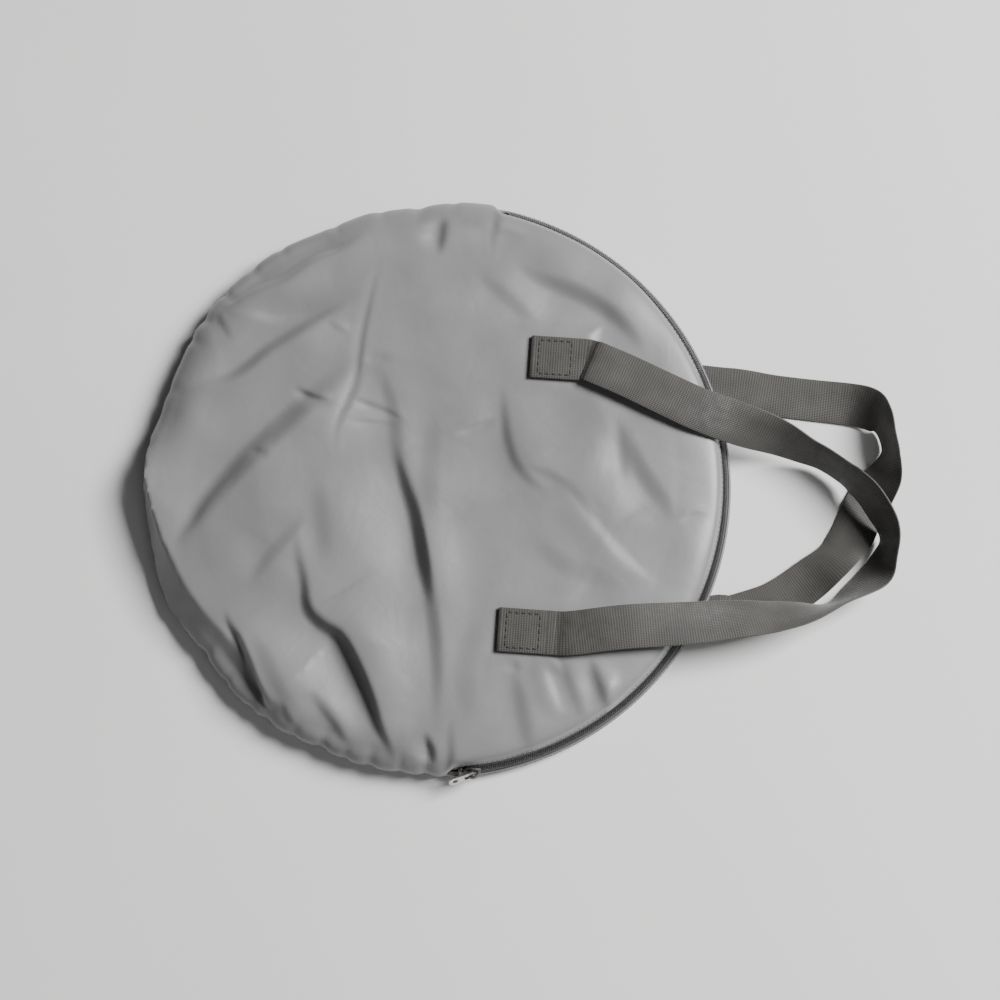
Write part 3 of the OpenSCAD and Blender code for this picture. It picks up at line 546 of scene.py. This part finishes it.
line = winding(WIRE_FROM)
hoop_wire = tube("spring_wire", line, 1.2, 10)
steel = finish_of("hoop_steel", [(0.42, 0.43, 0.45), (0.56, 0.57, 0.58)], (0.25, 0.4), 80,
                  [("noise", 500, 0.15, 0.0001)], Metallic=1.0)
settle(hoop_wire, steel, "hoop_steel", "bag", "hoop_wire")
line = winding(SLEEVE_FROM)
sleeve = tube("hoop_sleeve_cloth", line, sleeve_radius(
    np.arange(len(line)) * 2.05, 16, 3.0), 16)
green = finish_of("sleeve_cloth", [(0.016, 0.09, 0.035), (0.028, 0.13, 0.05)], (0.55, 0.7), 70,
                  [("bands X", 400, 0.3, 0.0002), ("noise", 300, 0.4, 0.0005)], "UV",
                  Sheen_Weight=0.3)
settle(sleeve, green, "sleeve_cloth", "bag", "hoop_sleeve")


nodes = frame["nodes"]


def bevelled(name, node, wide, segments=2):
    """A rigid piece from its CAD shape, with its edges rounded over."""
    only(nodes[node])
    bpy.ops.object.duplicate()
    made = bpy.context.object
    made.name = name
    bpy.ops.object.parent_clear(type="CLEAR_KEEP_TRANSFORM")
    made.hide_render = False
    made.data.materials.clear()
    bpy.ops.object.mode_set(mode="EDIT")
    bpy.ops.mesh.select_all(action="SELECT")
    bpy.ops.mesh.remove_doubles(threshold=1e-6)
    bpy.ops.mesh.dissolve_limited(angle_limit=math.radians(1))
    bpy.ops.object.mode_set(mode="OBJECT")
    apply_modifier(made, "BEVEL", width=wide * MM, segments=segments, limit_method="ANGLE",
                   angle_limit=math.radians(40))
    smooth(made, 35)
    return made


ferrule = bevelled("crimped_ferrule", "hoop_ferrule", 0.2)
settle(ferrule, steel, "hoop_steel", "bag", "hoop_ferrule")

turns = np.radians(np.linspace(-30, 400, 200))
radius = np.linspace(8.05, 8.75, 200)
middle = np.stack([HOOP_R + radius * np.cos(turns), 0 * turns,
                   BUNDLE_H + radius * np.sin(turns)], 1)
closer = ribbon("closing_elastic", middle, np.tile([0.0, 1, 0], (200, 1)),
                np.arange(200) * 0.31, 12, 0.55, 1.1, 0.1)
elastic = finish_of("elastic", [(0.012, 0.012, 0.013), (0.03, 0.03, 0.032)], (0.6, 0.75), 90,
                    [("bands Y", 300, 0.6, 0.0002)], "UV", bands=("Y", 300, 0.6), Sheen_Weight=0.3)
settle(closer, elastic, "elastic", "bag", "closing_strap")


# Folded net. The knitted nylon netting of the backstop, folded in layers into a flat round pile
# inside the hoop, so that its diamond meshes lie over each other at different slants.
NET_R, NET_LOW, NET_TOP = 137.5, 4.5, 12.4


def heap(x, y):
    """Height of the uneven top of the folded netting."""
    return (NET_TOP + 0.55 * np.sin(x / 19 + np.sin(y / 27)) * np.sin(y / 23 + 0.7)
            + 0.4 * np.sin(x / 7.3 + y / 11) * np.sin(y / 8.1 - x / 17) - 0.45)


def lumpy_disc(name, centre, wide, low, height, rows=34, count=96):
    """A flat heap: level below, uneven above, with a soft folded edge."""
    rings, radii = [], wide * np.sqrt(np.linspace(0.0004, 1, rows))
    angle = np.radians(np.arange(count) * 360 / count)
    wavy = 1 - 0.012 * (1 + np.sin(angle * 11 + 2 * np.sin(angle * 3)))
    for r in radii:
        x, y = centre[0] + r * wavy * np.cos(angle), centre[1] + r * wavy * np.sin(angle)
        fall = 1 - ease(r, wide * 0.9, wide * 1.04)
        rings.append(np.stack([x, y, low + 1.5 + (height(x, y) - low - 1.5) * fall], 1))
    for r, z in ((wide, low + 0.8), (wide * 0.985, low), (wide * 0.5, low), (0.5, low)):
        rings.append(np.stack([centre[0] + r * wavy * np.cos(angle),
                               centre[1] + r * wavy * np.sin(angle), 0 * angle + z], 1))
    rings = np.array(rings)
    made = mesh_object(name, rings.reshape(-1, 3), [f[::-1] for f in skin(rings)])
    smooth(made, 60)
    return made


def lattice(name, centre, wide, height, pitch, turns, thick=0.5):
    """Cords of netting laid over a heap: slanting lines that cross, loosely spaced."""
    points, faces, start = [], [], 0
    for layer, turn in enumerate(turns):
        c, s = math.cos(math.radians(turn)), math.sin(math.radians(turn))
        for row in np.arange(-wide + pitch / 2, wide, pitch):
            reach = math.sqrt(wide ** 2 - row ** 2)
            u = np.arange(-reach, reach, 3.2)
            if len(u) < 3:
                continue
            v = row + 1.6 * np.sin(u / 13 + row / 9 + layer) + 0.9 * np.sin(u / 5.2 - row / 4)
            x, y = centre[0] + u * c - v * s, centre[1] + u * s + v * c
            z = height(x, y) + 0.25 + 0.12 * (layer % 2) + 0.1 * np.sin(u * 1.3)
            side = np.array([-s, c, 0]) * thick
            middle = np.stack([x, y, z], 1)
            ring = np.stack([middle + side, middle + (0, 0, thick), middle - side,
                             middle - (0, 0, thick)], 1)
            points.append(ring.reshape(-1, 3))
            faces += [tuple(start + i for i in f) for f in skin(ring)]
            start += 4 * len(u)
    made = mesh_object(name, np.concatenate(points), faces)
    smooth(made)
    return made


netting = finish_of("backstop_netting", [(0.012, 0.02, 0.014), (0.03, 0.045, 0.032)], (0.55, 0.7),
                    120, [("bands X", 120, 0.6, 0.0006), ("bands Y", 140, 0.6, 0.0006),
                          ("cells", 260, 0.5, 0.0006)], bands=("DIAGONAL", 90, 0.45))
pile = lumpy_disc("folded_netting", (0, 0), NET_R, NET_LOW, heap)
settle(pile, netting, "backstop_netting", "bag", "folded_backstop_net")
cords = lattice("netting_meshes", (0, 0), NET_R * 0.93, heap, 9, (52, -47, 12, 84))
settle(cords, netting, "backstop_netting", "bag")


# Target rings and ball pockets. Each target is a wire ring in a bright cloth sleeve; its catching
# pocket is a small net gathered flat inside the ring.
PILE_TOP, RING_R, RING_OUT, RING_D = 13.2, 55, 73, 3.6
orange = finish_of("ring_cloth", [(0.72, 0.2, 0.02), (0.85, 0.27, 0.035)], (0.5, 0.65), 60,
                   [("bands X", 420, 0.3, 0.0002), ("noise", 300, 0.4, 0.0004)], "UV",
                   Sheen_Weight=0.3)
pocket_net = finish_of("pocket_netting", [(0.02, 0.03, 0.022), (0.045, 0.06, 0.048)], (0.5, 0.65),
                       140, [("cells", 300, 0.6, 0.0006)], bands=("DIAGONAL", 110, 0.5))
for spot, at in (("left", 180), ("far", 60), ("near", -60)):
    centre = (RING_OUT * math.cos(math.radians(at)), RING_OUT * math.sin(math.radians(at)))
    angle = np.radians(np.arange(0, 360, 1.5))
    line = np.stack([centre[0] + RING_R * np.cos(angle), centre[1] + RING_R * np.sin(angle),
                     0 * angle + PILE_TOP + RING_D / 2], 1)
    ring = tube("target_ring_sleeve_" + spot, line, sleeve_radius(
        np.arange(len(line)) * 1.44, 12, RING_D / 2, 0.2), 12, looped=True)
    settle(ring, orange, "ring_cloth", "bag", "target_ring_" + spot)

    def gathered(x, y, centre=centre):
        """Height of a pocket's net, gathered in pleats round its middle."""
        out = np.hypot(x - centre[0], y - centre[1])
        turn = np.arctan2(y - centre[1], x - centre[0])
        return (PILE_TOP + 1.3 + 0.45 * np.sin(turn * 17 + out / 9) * ease(out, 6, 25)
                + 0.3 * np.sin(out / 4.5))
    pocket = lumpy_disc("pocket_" + spot, centre, 52.6, PILE_TOP, gathered, 22, 120)
    settle(pocket, pocket_net, "pocket_netting", "bag", "ball_pocket_" + spot)
    meshes = lattice("pocket_meshes_" + spot, centre, 49, gathered, 7, (at + 40, at - 40), 0.4)
    settle(meshes, pocket_net, "pocket_netting", "bag")


# Ground pegs. Four bent steel pins that hold the net down in use, kept together by a wide
# elastic band on top of the folded net.
peg_steel = finish_of("peg_steel", [(0.45, 0.46, 0.48), (0.6, 0.61, 0.62)], (0.22, 0.42), 60,
                      [("noise", 420, 0.15, 0.0001)], Metallic=1.0)
for slot in nodes["ground_pegs"].material_slots:
    slot.material = peg_steel
PEG_X, PEG_Z = 72, 18.5
turns = np.radians(np.linspace(-90, 290, 260))
middle = np.stack([PEG_X + 8.7 * np.sign(np.cos(turns)) * np.abs(np.cos(turns)) ** 0.5,
                   0 * turns,
                   PEG_Z + 2.1 * np.sign(np.sin(turns)) * np.abs(np.sin(turns)) ** 0.5], 1)
middle[-45:, 2] -= np.linspace(0, 0.02, 45)
band = ribbon("peg_elastic", middle, np.tile([0.0, 1, 0], (260, 1)), np.arange(260) * 0.17, 12,
              0.7, 1.1, 0.1)
settle(band, elastic, "elastic", "bag", "peg_band")


# Top cloth. The upper disc, of the same polyester, eased into the seam of the lower one, so that
# tucks run in from the rim. It sags over the folded net and carries the long soft folds and the
# pressed creases of a cloth that was packed.
FOLDS = [  # depth (below 0 for a ridge), widths of the steep and the easy side, rise of the
    # crest, and points along the steep side, which is on the left of the way they run
    # inside the plain seam on the far left
    (2.6, 6, 12, 1.6, [(-49, 144), (-56, 142), (-69, 130), (-83, 124), (-98, 110), (-114, 102),
        (-132, 90), (-139, 82)]),
    (0.8, 1.6, 5, 0.2, [(-138, 88), (-132, 80), (-123, 68)]),
    # across the left half, towards the rim
    (3, 6, 16, 2.2, [(-53, 102), (-71, 90), (-87, 78), (-103, 66), (-113, 56), (-123, 48),
        (-134, 44), (-154, 40)]),
    (1.2, 4, 10, 0.6, [(-61, 90), (-81, 86), (-99, 84), (-117, 86), (-131, 88)]),
    (1.2, 2.2, 4, 0.4, [(-87, 46), (-73, 40), (-61, 38)]),
    (-0.6, 2, 4, 0, [(-57, 78), (-71, 84)]),
    (4.8, 10.5, 30, 3.4, [(-49, 68), (-60, 56), (-71, 44), (-82, 32), (-93, 20), (-105, 6),
        (-117, -10), (-127, -24), (-133, -36), (-138, -44), (-146, -56)]),
    (0.9, 4, 8, 0.4, [(-109, 0), (-117, -10), (-127, -24), (-133, -36), (-138, -44), (-146, -56)]),
    (0.6, 2, 4, 0.2, [(-108, 8), (-91, 4)]),
    # pressed creases on the far side of the middle
    (0.7, 1.4, 4, 0.2, [(-42, 130), (-45, 116), (-49, 80), (-50, 52), (-53, 40), (-58, 24),
        (-58, 2)]),
    (0.6, 1.6, 4, 0.2, [(-55, 42), (-32, 36), (-17, 28)]),
    (0.5, 1.5, 4, 0.2, [(-55, 28), (-17, 30)]),
    (0.5, 1.6, 4, 0.1, [(-31, 64), (-51, 62)]),
    # the long fold down the middle
    (1.2, 6, 14, 0.8, [(-39, 66), (-35, 52), (-28, 34), (-24, 12), (-19, -2), (-12, -18)]),
    (3.2, 5.4, 20, 2.6, [(-26, 22), (-24, 12), (-19, -2), (-12, -18), (-8, -30), (-3, -48),
        (1, -64), (4, -80)]),
    (1.6, 6, 16, 1.4, [(-19, -2), (-12, -18), (-8, -30), (-3, -48), (1, -64), (5, -80),
        (9, -102), (11, -124), (12, -146)]),
    # the two that run to the near rim
    (3, 5, 20, 2.4, [(-77, -32), (-74, -48), (-69, -64), (-65, -80), (-57, -88), (-46, -94),
        (-37, -106), (-27, -124), (-19, -142), (-12, -156), (-9, -168)]),
    (2.4, 4.4, 20, 1.2, [(-65, -80), (-57, -88), (-46, -94), (-37, -106), (-27, -124),
        (-19, -142), (-12, -156), (-9, -168)]),
    (4, 3.4, 20, 2.2, [(-112, -82), (-108, -92), (-102, -100), (-95, -114), (-88, -130),
        (-83, -140), (-78, -152)]),
    (1, 7, 14, 0.8, [(-97, -94), (-86, -110), (-76, -126), (-64, -144)]),
    # short ones at the near rim
    (1, 2.4, 10, 0.5, [(-75, -132), (-72, -140), (-65, -152)]),
    (1.8, 5, 10, 0.8, [(-61, -124), (-49, -138), (-34, -160)]),
    (2.4, 2.4, 6, 0.6, [(7, -142), (9, -148), (12, -156), (9, -166)]),
    # shallow ones left of the middle
    (1.4, 6, 12, 0.8, [(-71, -26), (-80, -40), (-90, -54), (-100, -72)]),
    (0.8, 7, 12, 0.4, [(-69, -4), (-65, -18), (-61, -36), (-56, -60)]),
    # on the far side, by the zip's end
    (2, 4, 8, 0.8, [(-11, 158), (-10, 146), (-11, 128)]),
    (2.2, 7, 18, 2, [(31, 130), (45, 122), (69, 114), (86, 106), (101, 94), (113, 80)]),
    (1, 4, 9, 0.4, [(-1, 148), (19, 148), (43, 144)]),
    (1, 6, 13, 0.6, [(9, 122), (24, 112), (37, 102), (53, 88)]),
    # between the handle's ends and the zip
    (1.2, 4.4, 14, 0.9, [(32, 58), (34, 44), (38, 24), (48, 6), (69, -8)]),
    (0.9, 4, 9, 0.4, [(43, 12), (70, 4), (86, -12), (91, -22)]),
    (-1.2, 5, 10, 0, [(61, 18), (88, -16), (108, -36), (135, -54)]),
    (1.8, 7, 16, 0.9, [(101, 42), (110, 20), (120, 6), (127, -2), (133, -12), (137, -18)]),
    (0.4, 1.8, 4, 0.2, [(136, -14), (145, -8), (157, -8)]),
    (1, 8, 15, 0.5, [(53, -28), (75, -44), (92, -48), (115, -60)]),
    # beside the near sewn end
    (0.8, 2.6, 5, 0.3, [(51, -92), (56, -108)]),
    (-0.7, 4, 6, 0, [(64, -90), (73, -110), (83, -132)]),
    (1.6, 3.6, 8, 0.8, [(93, -92), (99, -106), (109, -128)]),
    (1.2, 6, 12, 0.6, [(51, -100), (59, -128), (67, -156)]),
    (-0.9, 4, 6, 0, [(111, -100), (104, -132)]),
    (0.8, 4, 7, 0.3, [(74, -88), (87, -116), (96, -134)]),
    (1, 9, 16, 0.4, [(31, -74), (25, -104), (31, -140)]),
    # faint ones in the middle and on the right
    (1, 8, 14, 0.4, [(-3, 40), (-5, 22), (-5, -2), (1, -30)]),
    (0.7, 1.8, 4, 0.2, [(6, 26), (31, 38)]),
    (0.8, 4, 8, 0.2, [(100, 44), (107, 4)]),
]


def fold_depth(points):
    """How deep the folds press the cloth at these points, in mm."""
    deep = np.zeros(len(points))
    for depth, steep, easy, crest, line in FOLDS:
        line = even_steps(np.array([(x, y, 0) for x, y in line]), 3)[0][:, :2]
        steps = np.hypot(*np.diff(line, axis=0).T)
        gone = np.concatenate([[0], np.cumsum(steps)])
        away, along = np.full(len(points), 1e9), np.zeros(len(points))
        for a, b, length, before in zip(line, line[1:], steps, gone):
            way = (b - a) / length
            t = np.clip((points - a) @ way, 0, length)
            off = points - a - t[:, None] * way
            side = np.hypot(*off.T) * np.where(way[0] * off[:, 1] - way[1] * off[:, 0] < 0, -1, 1)
            near = np.abs(side) < np.abs(away)
            away[near], along[near] = side[near], before + t[near]
        share = ease(along, 0, 0.4 * gone[-1]) * (1 - ease(along, 0.62 * gone[-1], gone[-1]))
        u = away / (0.6 + 0.4 * share) + 0.75 * steep
        reach = 1.6 * steep
        press = np.where(u < 0, depth * np.exp(-(u / easy) ** 2),
                         depth - (depth + crest) * ease(u, 0, reach))
        press = np.where(u > reach, -crest * np.exp(-((u - reach) / easy) ** 2), press)
        deep += press * share
    return deep


crown = [(0, 25), (24, 25), (62, 26.4), (100, 27), (136, 25.5)]
upper = Disc(
    np.concatenate([spread(crown + quarter(crown[-1], (RIM_R, 11)), 104),
                    spread([(167.4, 10.4), (166.8, 9.8), (165.6, 9.55), (159, 9.5)], 9)]),
    np.concatenate([spread(crown + quarter(crown[-1], zip_point(1.3, 9), 2.7), 104),
                    spread([zip_point(1.3, 6.2), zip_point(1.2, 5.1), zip_point(0.8, 4.9),
                            zip_point(0.4, 5.1), zip_point(0.34, 8)], 9)]), 512)
points = upper.points
radius = np.hypot(points[:, 0], points[:, 1])
turn = np.mod(upper.angles, 360)
# across from the near handle end the cloth runs flat to a sharp edge and falls straight from it
# to the rim: the edge's radius by angle, and how rounded the edge is
FACET_TOP, FACET_LOW, EDGE_SOFT = 25.4, 10.4, 0.5
edge = np.interp(turn, [174, 187, 198, 203, 211, 216, 224, 232, 242, 256],
                 [168, 164, 159, 155, 151.5, 150.5, 148, 150, 157, 168])
share = (ease(turn, 172, 186) * (1 - 0.45 * ease(turn, 213.5, 218.5))
         * (1 - ease(turn, 226, 252)) * ease(radius, 134, 142))
drop = np.maximum(radius - edge, 0) * (FACET_TOP - FACET_LOW) / np.maximum(RIM_R - edge, 1)
facet = FACET_TOP - np.logaddexp(0, drop / EDGE_SOFT - 1.5) * EDGE_SOFT
level = points[:, 2] * (1 - share) + share * facet
points[:, 2] = np.where(points[:, 2] > FACET_LOW + 0.5,
                        np.maximum(level, FACET_LOW - 0.1), points[:, 2])
sink = fold_depth(points[:, :2]) * (1 - ease(radius, 158, 166))
for at, wide, deep in tucks:
    gap = np.mod(turn - at + 180, 360) - 180
    sink += 0.25 * deep * np.exp(-(gap / wide) ** 2) * ease(radius, 158 - 4 * deep, 166)
x, y = points[:, 0], points[:, 1]
sink += 0.3 * (np.sin(x / 17 + 0.5 * np.sin(y / 23)) * np.sin(y / 14 + 1) + np.sin(x / 9 + y / 12)
               * np.sin(y / 29 - x / 21)) * (1 - ease(radius, 150, 163))
# it lies flat under the top handle's sewn ends
SEAT_H = 26.75
for _, end_x, end_y in HANDLE_ENDS:
    far_off = np.maximum(np.abs(points[:, 0] - end_x + 12), np.abs(points[:, 1] - end_y) + 1)
    clear = ease(far_off, 15, 24)
    sink *= clear
    points[:, 2] = np.where(clear < 1, points[:, 2] * clear + SEAT_H * (1 - clear), points[:, 2])
points -= upper.normals * sink[:, None]
draw_in(points, upper.angles)
top_cloth = mesh_object("top_cloth", points, upper.faces)
apply_modifier(top_cloth, "SOLIDIFY", thickness=CLOTH_T * MM, offset=-1)
smooth(top_cloth, 60)
settle(top_cloth, cloth, "bag_cloth", "fold", "top_panel_back", "top_panel_flap")


# Seam allowance. Inside the plain half of the rim the raw edges of both cloths are held together
# by an overlocked edge of looped thread.
angle = np.arange(84.6, 275.9, 0.25)
shape = np.array([(159.2, 9.5), (158.9, 10.1), (157.9, 10.3), (157.3, 9.9), (157.2, 9.45),
                  (157.3, 9.0), (157.9, 8.65), (158.9, 8.8)])
loops = 0.22 * np.sin(angle * 9.6)[:, None]
grown = shape[None] + loops[..., None] * (shape - (158.2, 9.45)) / 1.2
grown[..., 0] += 0.25 * np.sin(angle * 2.1)[:, None]
turn = np.radians(angle)[:, None]
rings = np.stack([grown[..., 0] * np.cos(turn), grown[..., 0] * np.sin(turn), grown[..., 1]], -1)
flat = rings.reshape(-1, 3)
draw_in(flat, np.repeat(angle, len(shape)))
allowance = mesh_object("overlocked_edge", flat, skin(rings))
smooth(allowance)
settle(allowance, finish_of("overlock_thread", [(0.05, 0.05, 0.052), (0.1, 0.1, 0.103)],
                            (0.55, 0.7), 200, [("noise", 900, 0.5, 0.0003)]),
       "bag_cloth", "bag", "rim_seam_allowance")


# Zip tapes. Woven polyester tapes with a corded edge that the teeth are sewn to; each lies behind
# the folded hem of its cloth, and their ends are caught in the seam.
def band_round(name, section, start, stop, step=0.4):
    """A closed band of the zip's section, turned round the bag from one angle to another."""
    angle = np.radians(np.arange(start, stop + step / 2, step))[:, None]
    place = np.array([zip_point(n, t) for n, t in section])
    r, z = place[None, :, 0], place[None, :, 1] + 0 * angle
    rings = np.stack([r * np.cos(angle), r * np.sin(angle), z], -1)
    along = angle * ZIP_R + 0 * r
    uv = np.stack([along, np.array([t for n, t in section])[None] + 0 * angle], -1) * MM
    made = mesh_object(name, rings.reshape(-1, 3), [f[::-1] for f in skin(rings)],
                       uv.reshape(-1, 2))
    smooth(made, 60)
    return made


lower_tape = band_round("lower_tape", [
    (-0.28, -6.4), (-0.28, -3.3), (-0.28, -1.6), (-0.2, -1.1), (0, -1.0), (0.2, -1.1),
    (0.26, -1.6), (0.22, -3.0), (0.34, -3.25), (0.34, -3.6), (0.22, -3.85), (0.24, -6.4)],
    -82.6, 83.1)
upper_tape = band_round("upper_tape", [
    (0.24, 8.3), (0.22, 3.85), (0.34, 3.6), (0.34, 3.25), (0.22, 3.0), (0.26, 1.6), (0.2, 1.1),
    (0, 1.0), (-0.2, 1.1), (-0.28, 1.6), (-0.28, 3.3), (-0.28, 8.3)], -82.6, 83.1)
tape = finish_of("zip_tape", [(0.05, 0.045, 0.047), (0.085, 0.078, 0.08)], (0.55, 0.7), 120,
                 [("bands X", 420, 0.5, 0.00015), ("bands DIAGONAL", 300, 0.3, 0.0001)], "UV",
                 bands=("X", 420, 0.75), Sheen_Weight=0.25)
settle(lower_tape, tape, "zip_tape", "bag", "lower_zip_tape")
settle(upper_tape, tape, "zip_tape", "fold", "upper_zip_tape", "upper_zip_tape_ends")


# Zip teeth. Nylon coil: each turn is a small bent loop sewn to the tape's edge, whose head hooks
# between two heads of the other row.
TOOTH_STEP = 1.25


def zip_spot(angle, out_by=0, up_by=0):
    """A point of the zip at an angle round the bag, and the ways along, out of and up it there."""
    c, s = math.cos(math.radians(angle)), math.sin(math.radians(angle))
    level, rise = math.cos(ZIP_TILT), math.sin(ZIP_TILT)
    r, z = zip_point(out_by, up_by)
    return ((r * c, r * s, z), np.array((-s, c, 0)), np.array((level * c, level * s, rise)),
            np.array((-rise * c, -rise * s, level)))


def tooth_places(side, first):
    """Places along the chain for one row: side is 1 for the upper row and -1 for the lower."""
    step = math.degrees(TOOTH_STEP / ZIP_R)
    for angle in np.arange(-79.9 + first * step, 80.4, step):
        spot, along, out, up = zip_spot(angle)
        yield spot, (along * side, out, up * side)


# one turn of the coil, across the zip: X along it, Y out of it, Z to its wider head
COIL = bar_shape(0.36, 2.7, 0.16, (0, 0, 1.1), location=(0, 0.75, 1.6))
COIL[0][:, 0] *= np.where(COIL[0][:, 2] < 1.0, 1.35, 1)
COIL[0][:, 1] += 0.12 * np.cos((COIL[0][:, 2] - 1.6) * 1.2)
coil = finish_of("zip_coil", [(0.028, 0.026, 0.028), (0.06, 0.056, 0.058)], (0.28, 0.42), 400,
                 [("noise", 1200, 0.2, 0.0001)], Specular_IOR_Level=0.6)
for name, side, first, body, replaced in (
        ("lower_coil", -1, 0, "bag", ["lower_zip_teeth"]),
        ("upper_coil", 1, 0.5, "fold", ["upper_zip_teeth", "upper_zip_teeth_ends"])):
    row = repeated(name, COIL, tooth_places(side, first))
    smooth(row, 50)
    settle(row, coil, "zip_coil", body, *replaced)


# Hem stitching. A row of machine stitches close to each folded hem holds cloth and tape
# together, in a thread close to the tape's colour.
HEM_STEP = 2.9


def hem_stitches(out_by, up_by):
    """Places of one row of hem stitches, out of the zip's face and up it by these distances."""
    for angle in np.arange(-79.9, 80.8, math.degrees(HEM_STEP / ZIP_R)):
        spot, along, out, up = zip_spot(angle, out_by, up_by)
        yield spot, (along * 2.1, -up * 0.5, out * 0.4)


hem_thread = finish_of("hem_thread", [(0.06, 0.058, 0.06), (0.1, 0.097, 0.1)], (0.45, 0.6), 300,
                       [("bands X", 900, 0.5, 0.0001)])
for name, out_by, up_by, body in (("lower_hem_stitches", 0.9, -6.5, "bag"),
                                  ("upper_hem_stitches", 1.32, 6.3, "fold")):
    row = repeated(name, STITCH, hem_stitches(out_by, up_by))
    smooth(row)
    settle(row, hem_thread, "thread", body)


# End stops, slider and pull. Crimped metal stops close both ends of the chain; the slider is die
# cast with a bridge on its back, and the pull is a plated tab that swings in the bridge.
dark_metal = finish_of("slider_metal", [(0.09, 0.088, 0.085), (0.16, 0.155, 0.15)], (0.3, 0.45),
                       260, [("noise", 700, 0.2, 0.0001)], Metallic=1.0)
bright_metal = finish_of("pull_metal", [(0.5, 0.49, 0.48), (0.66, 0.65, 0.63)], (0.22, 0.38), 260,
                         [("noise", 700, 0.2, 0.0001)], Metallic=1.0)
for name, node, finish, slot, body, wide in (
        ("chain_end_stops", "zip_end_stops", dark_metal, "zip_metal", "bag", 0.3),
        ("cast_slider", "zip_slider", dark_metal, "slider_metal", "slider", 0.22),
        ("plated_pull", "zip_pull", bright_metal, "pull_metal", "puller", 0.2)):
    settle(bevelled(name, node, wide), finish, slot, body, node)


# Top handle. The same webbing, its doubled ends box-stitched to the top cloth. The loop rises
# over the rim, turns on its edge outside the bag and crosses the under handle.
top_route = [
    (73.7, 74.01, 29.06, 0), (74.1, 74.01, 29.1, 0), (77, 74.05, 29.1, 0), (79, 73.9, 29.3, 0),
    (80.6, 73.4, 30.6, 0), (82.4, 72.8, 31.9, 0), (90, 70.2, 32.3, 0), (105, 65, 32.1, 0),
    (141, 51.5, 31, 6), (166, 45.5, 26.5, 20), (189, 41, 20.5, 44), (206, 35.5, 16.5, 64),
    (218, 31.5, 15.5, 72), (230, 24.5, 16.5, 74), (237, 19, 18, 70), (244, 12.5, 19, 68),
    (251, 3.5, 18, 68), (256, -4.5, 16.5, 72), (258, -13, 14.5, 74), (256, -22, 12.2, 62),
    (252, -31.5, 10.8, 50), (242, -41, 11.8, 62), (229, -51, 14.8, 78), (211, -57.5, 19, 54),
    (195, -61.5, 21, 40), (173, -65.5, 25, 24), (146, -70.5, 29, 10), (111, -76, 32.1, 0),
    (84, -81.5, 30.8, 0), (75, -82.4, 29.2, 0), (72, -82.45, 29.1, 0), (69.1, -82.5, 29.1, 0),
    (68.7, -82.5, 29.06, 0)]
top_handle = strap("top_handle_webbing", top_route)
settle(top_handle, webbing, "webbing", "top_handle", "top_handle_strap")
for side, x, y in HANDLE_ENDS:
    settle(folded_end("top_handle_end_" + side, x, y, 27.0, 1),
           webbing, "webbing", "flap", "top_handle_sewn_ends")
top_stitches = repeated("top_handle_stitches", STITCH, [
    place for _, x, y in HANDLE_ENDS for place in box_stitches(x, y, 29.75, 1)])
smooth(top_stitches)
settle(top_stitches, thread, "thread", "flap", "top_handle_stitching")


# Floor and lights. A plain pale floor, a broad soft light from the handles' side and a little
# behind, and an even light all round.
bpy.ops.object.select_all(action="DESELECT")
bpy.ops.mesh.primitive_plane_add(size=6, location=(0, 0, 0))
floor = bpy.context.object
floor.name = "floor"
floor.data.materials.append(finish_of("floor_paper", [(0.78, 0.78, 0.77), (0.82, 0.82, 0.81)],
                                      (0.6, 0.7), 2))
for name, x, y, z, size, power in (("key_light", 2.18, 1.06, 2.34, 1.44, 246),
                                   ("fill_light", 0.9, -1.3, 1.7, 1.6, 6)):
    bpy.ops.object.select_all(action="DESELECT")
    aim = math.atan2(math.hypot(x, y), z)
    bpy.ops.object.light_add(type="AREA", location=(x, y, z),
                             rotation=(0, aim, math.atan2(y, x)))
    light = bpy.context.object
    light.name = name
    light.data.size = size
    light.data.energy = power
world = bpy.data.worlds.new("studio")
world.use_nodes = True
world.node_tree.nodes["Background"].inputs["Color"].default_value = (0.97, 0.98, 1, 1)
world.node_tree.nodes["Background"].inputs["Strength"].default_value = 0.05
bpy.context.scene.world = world
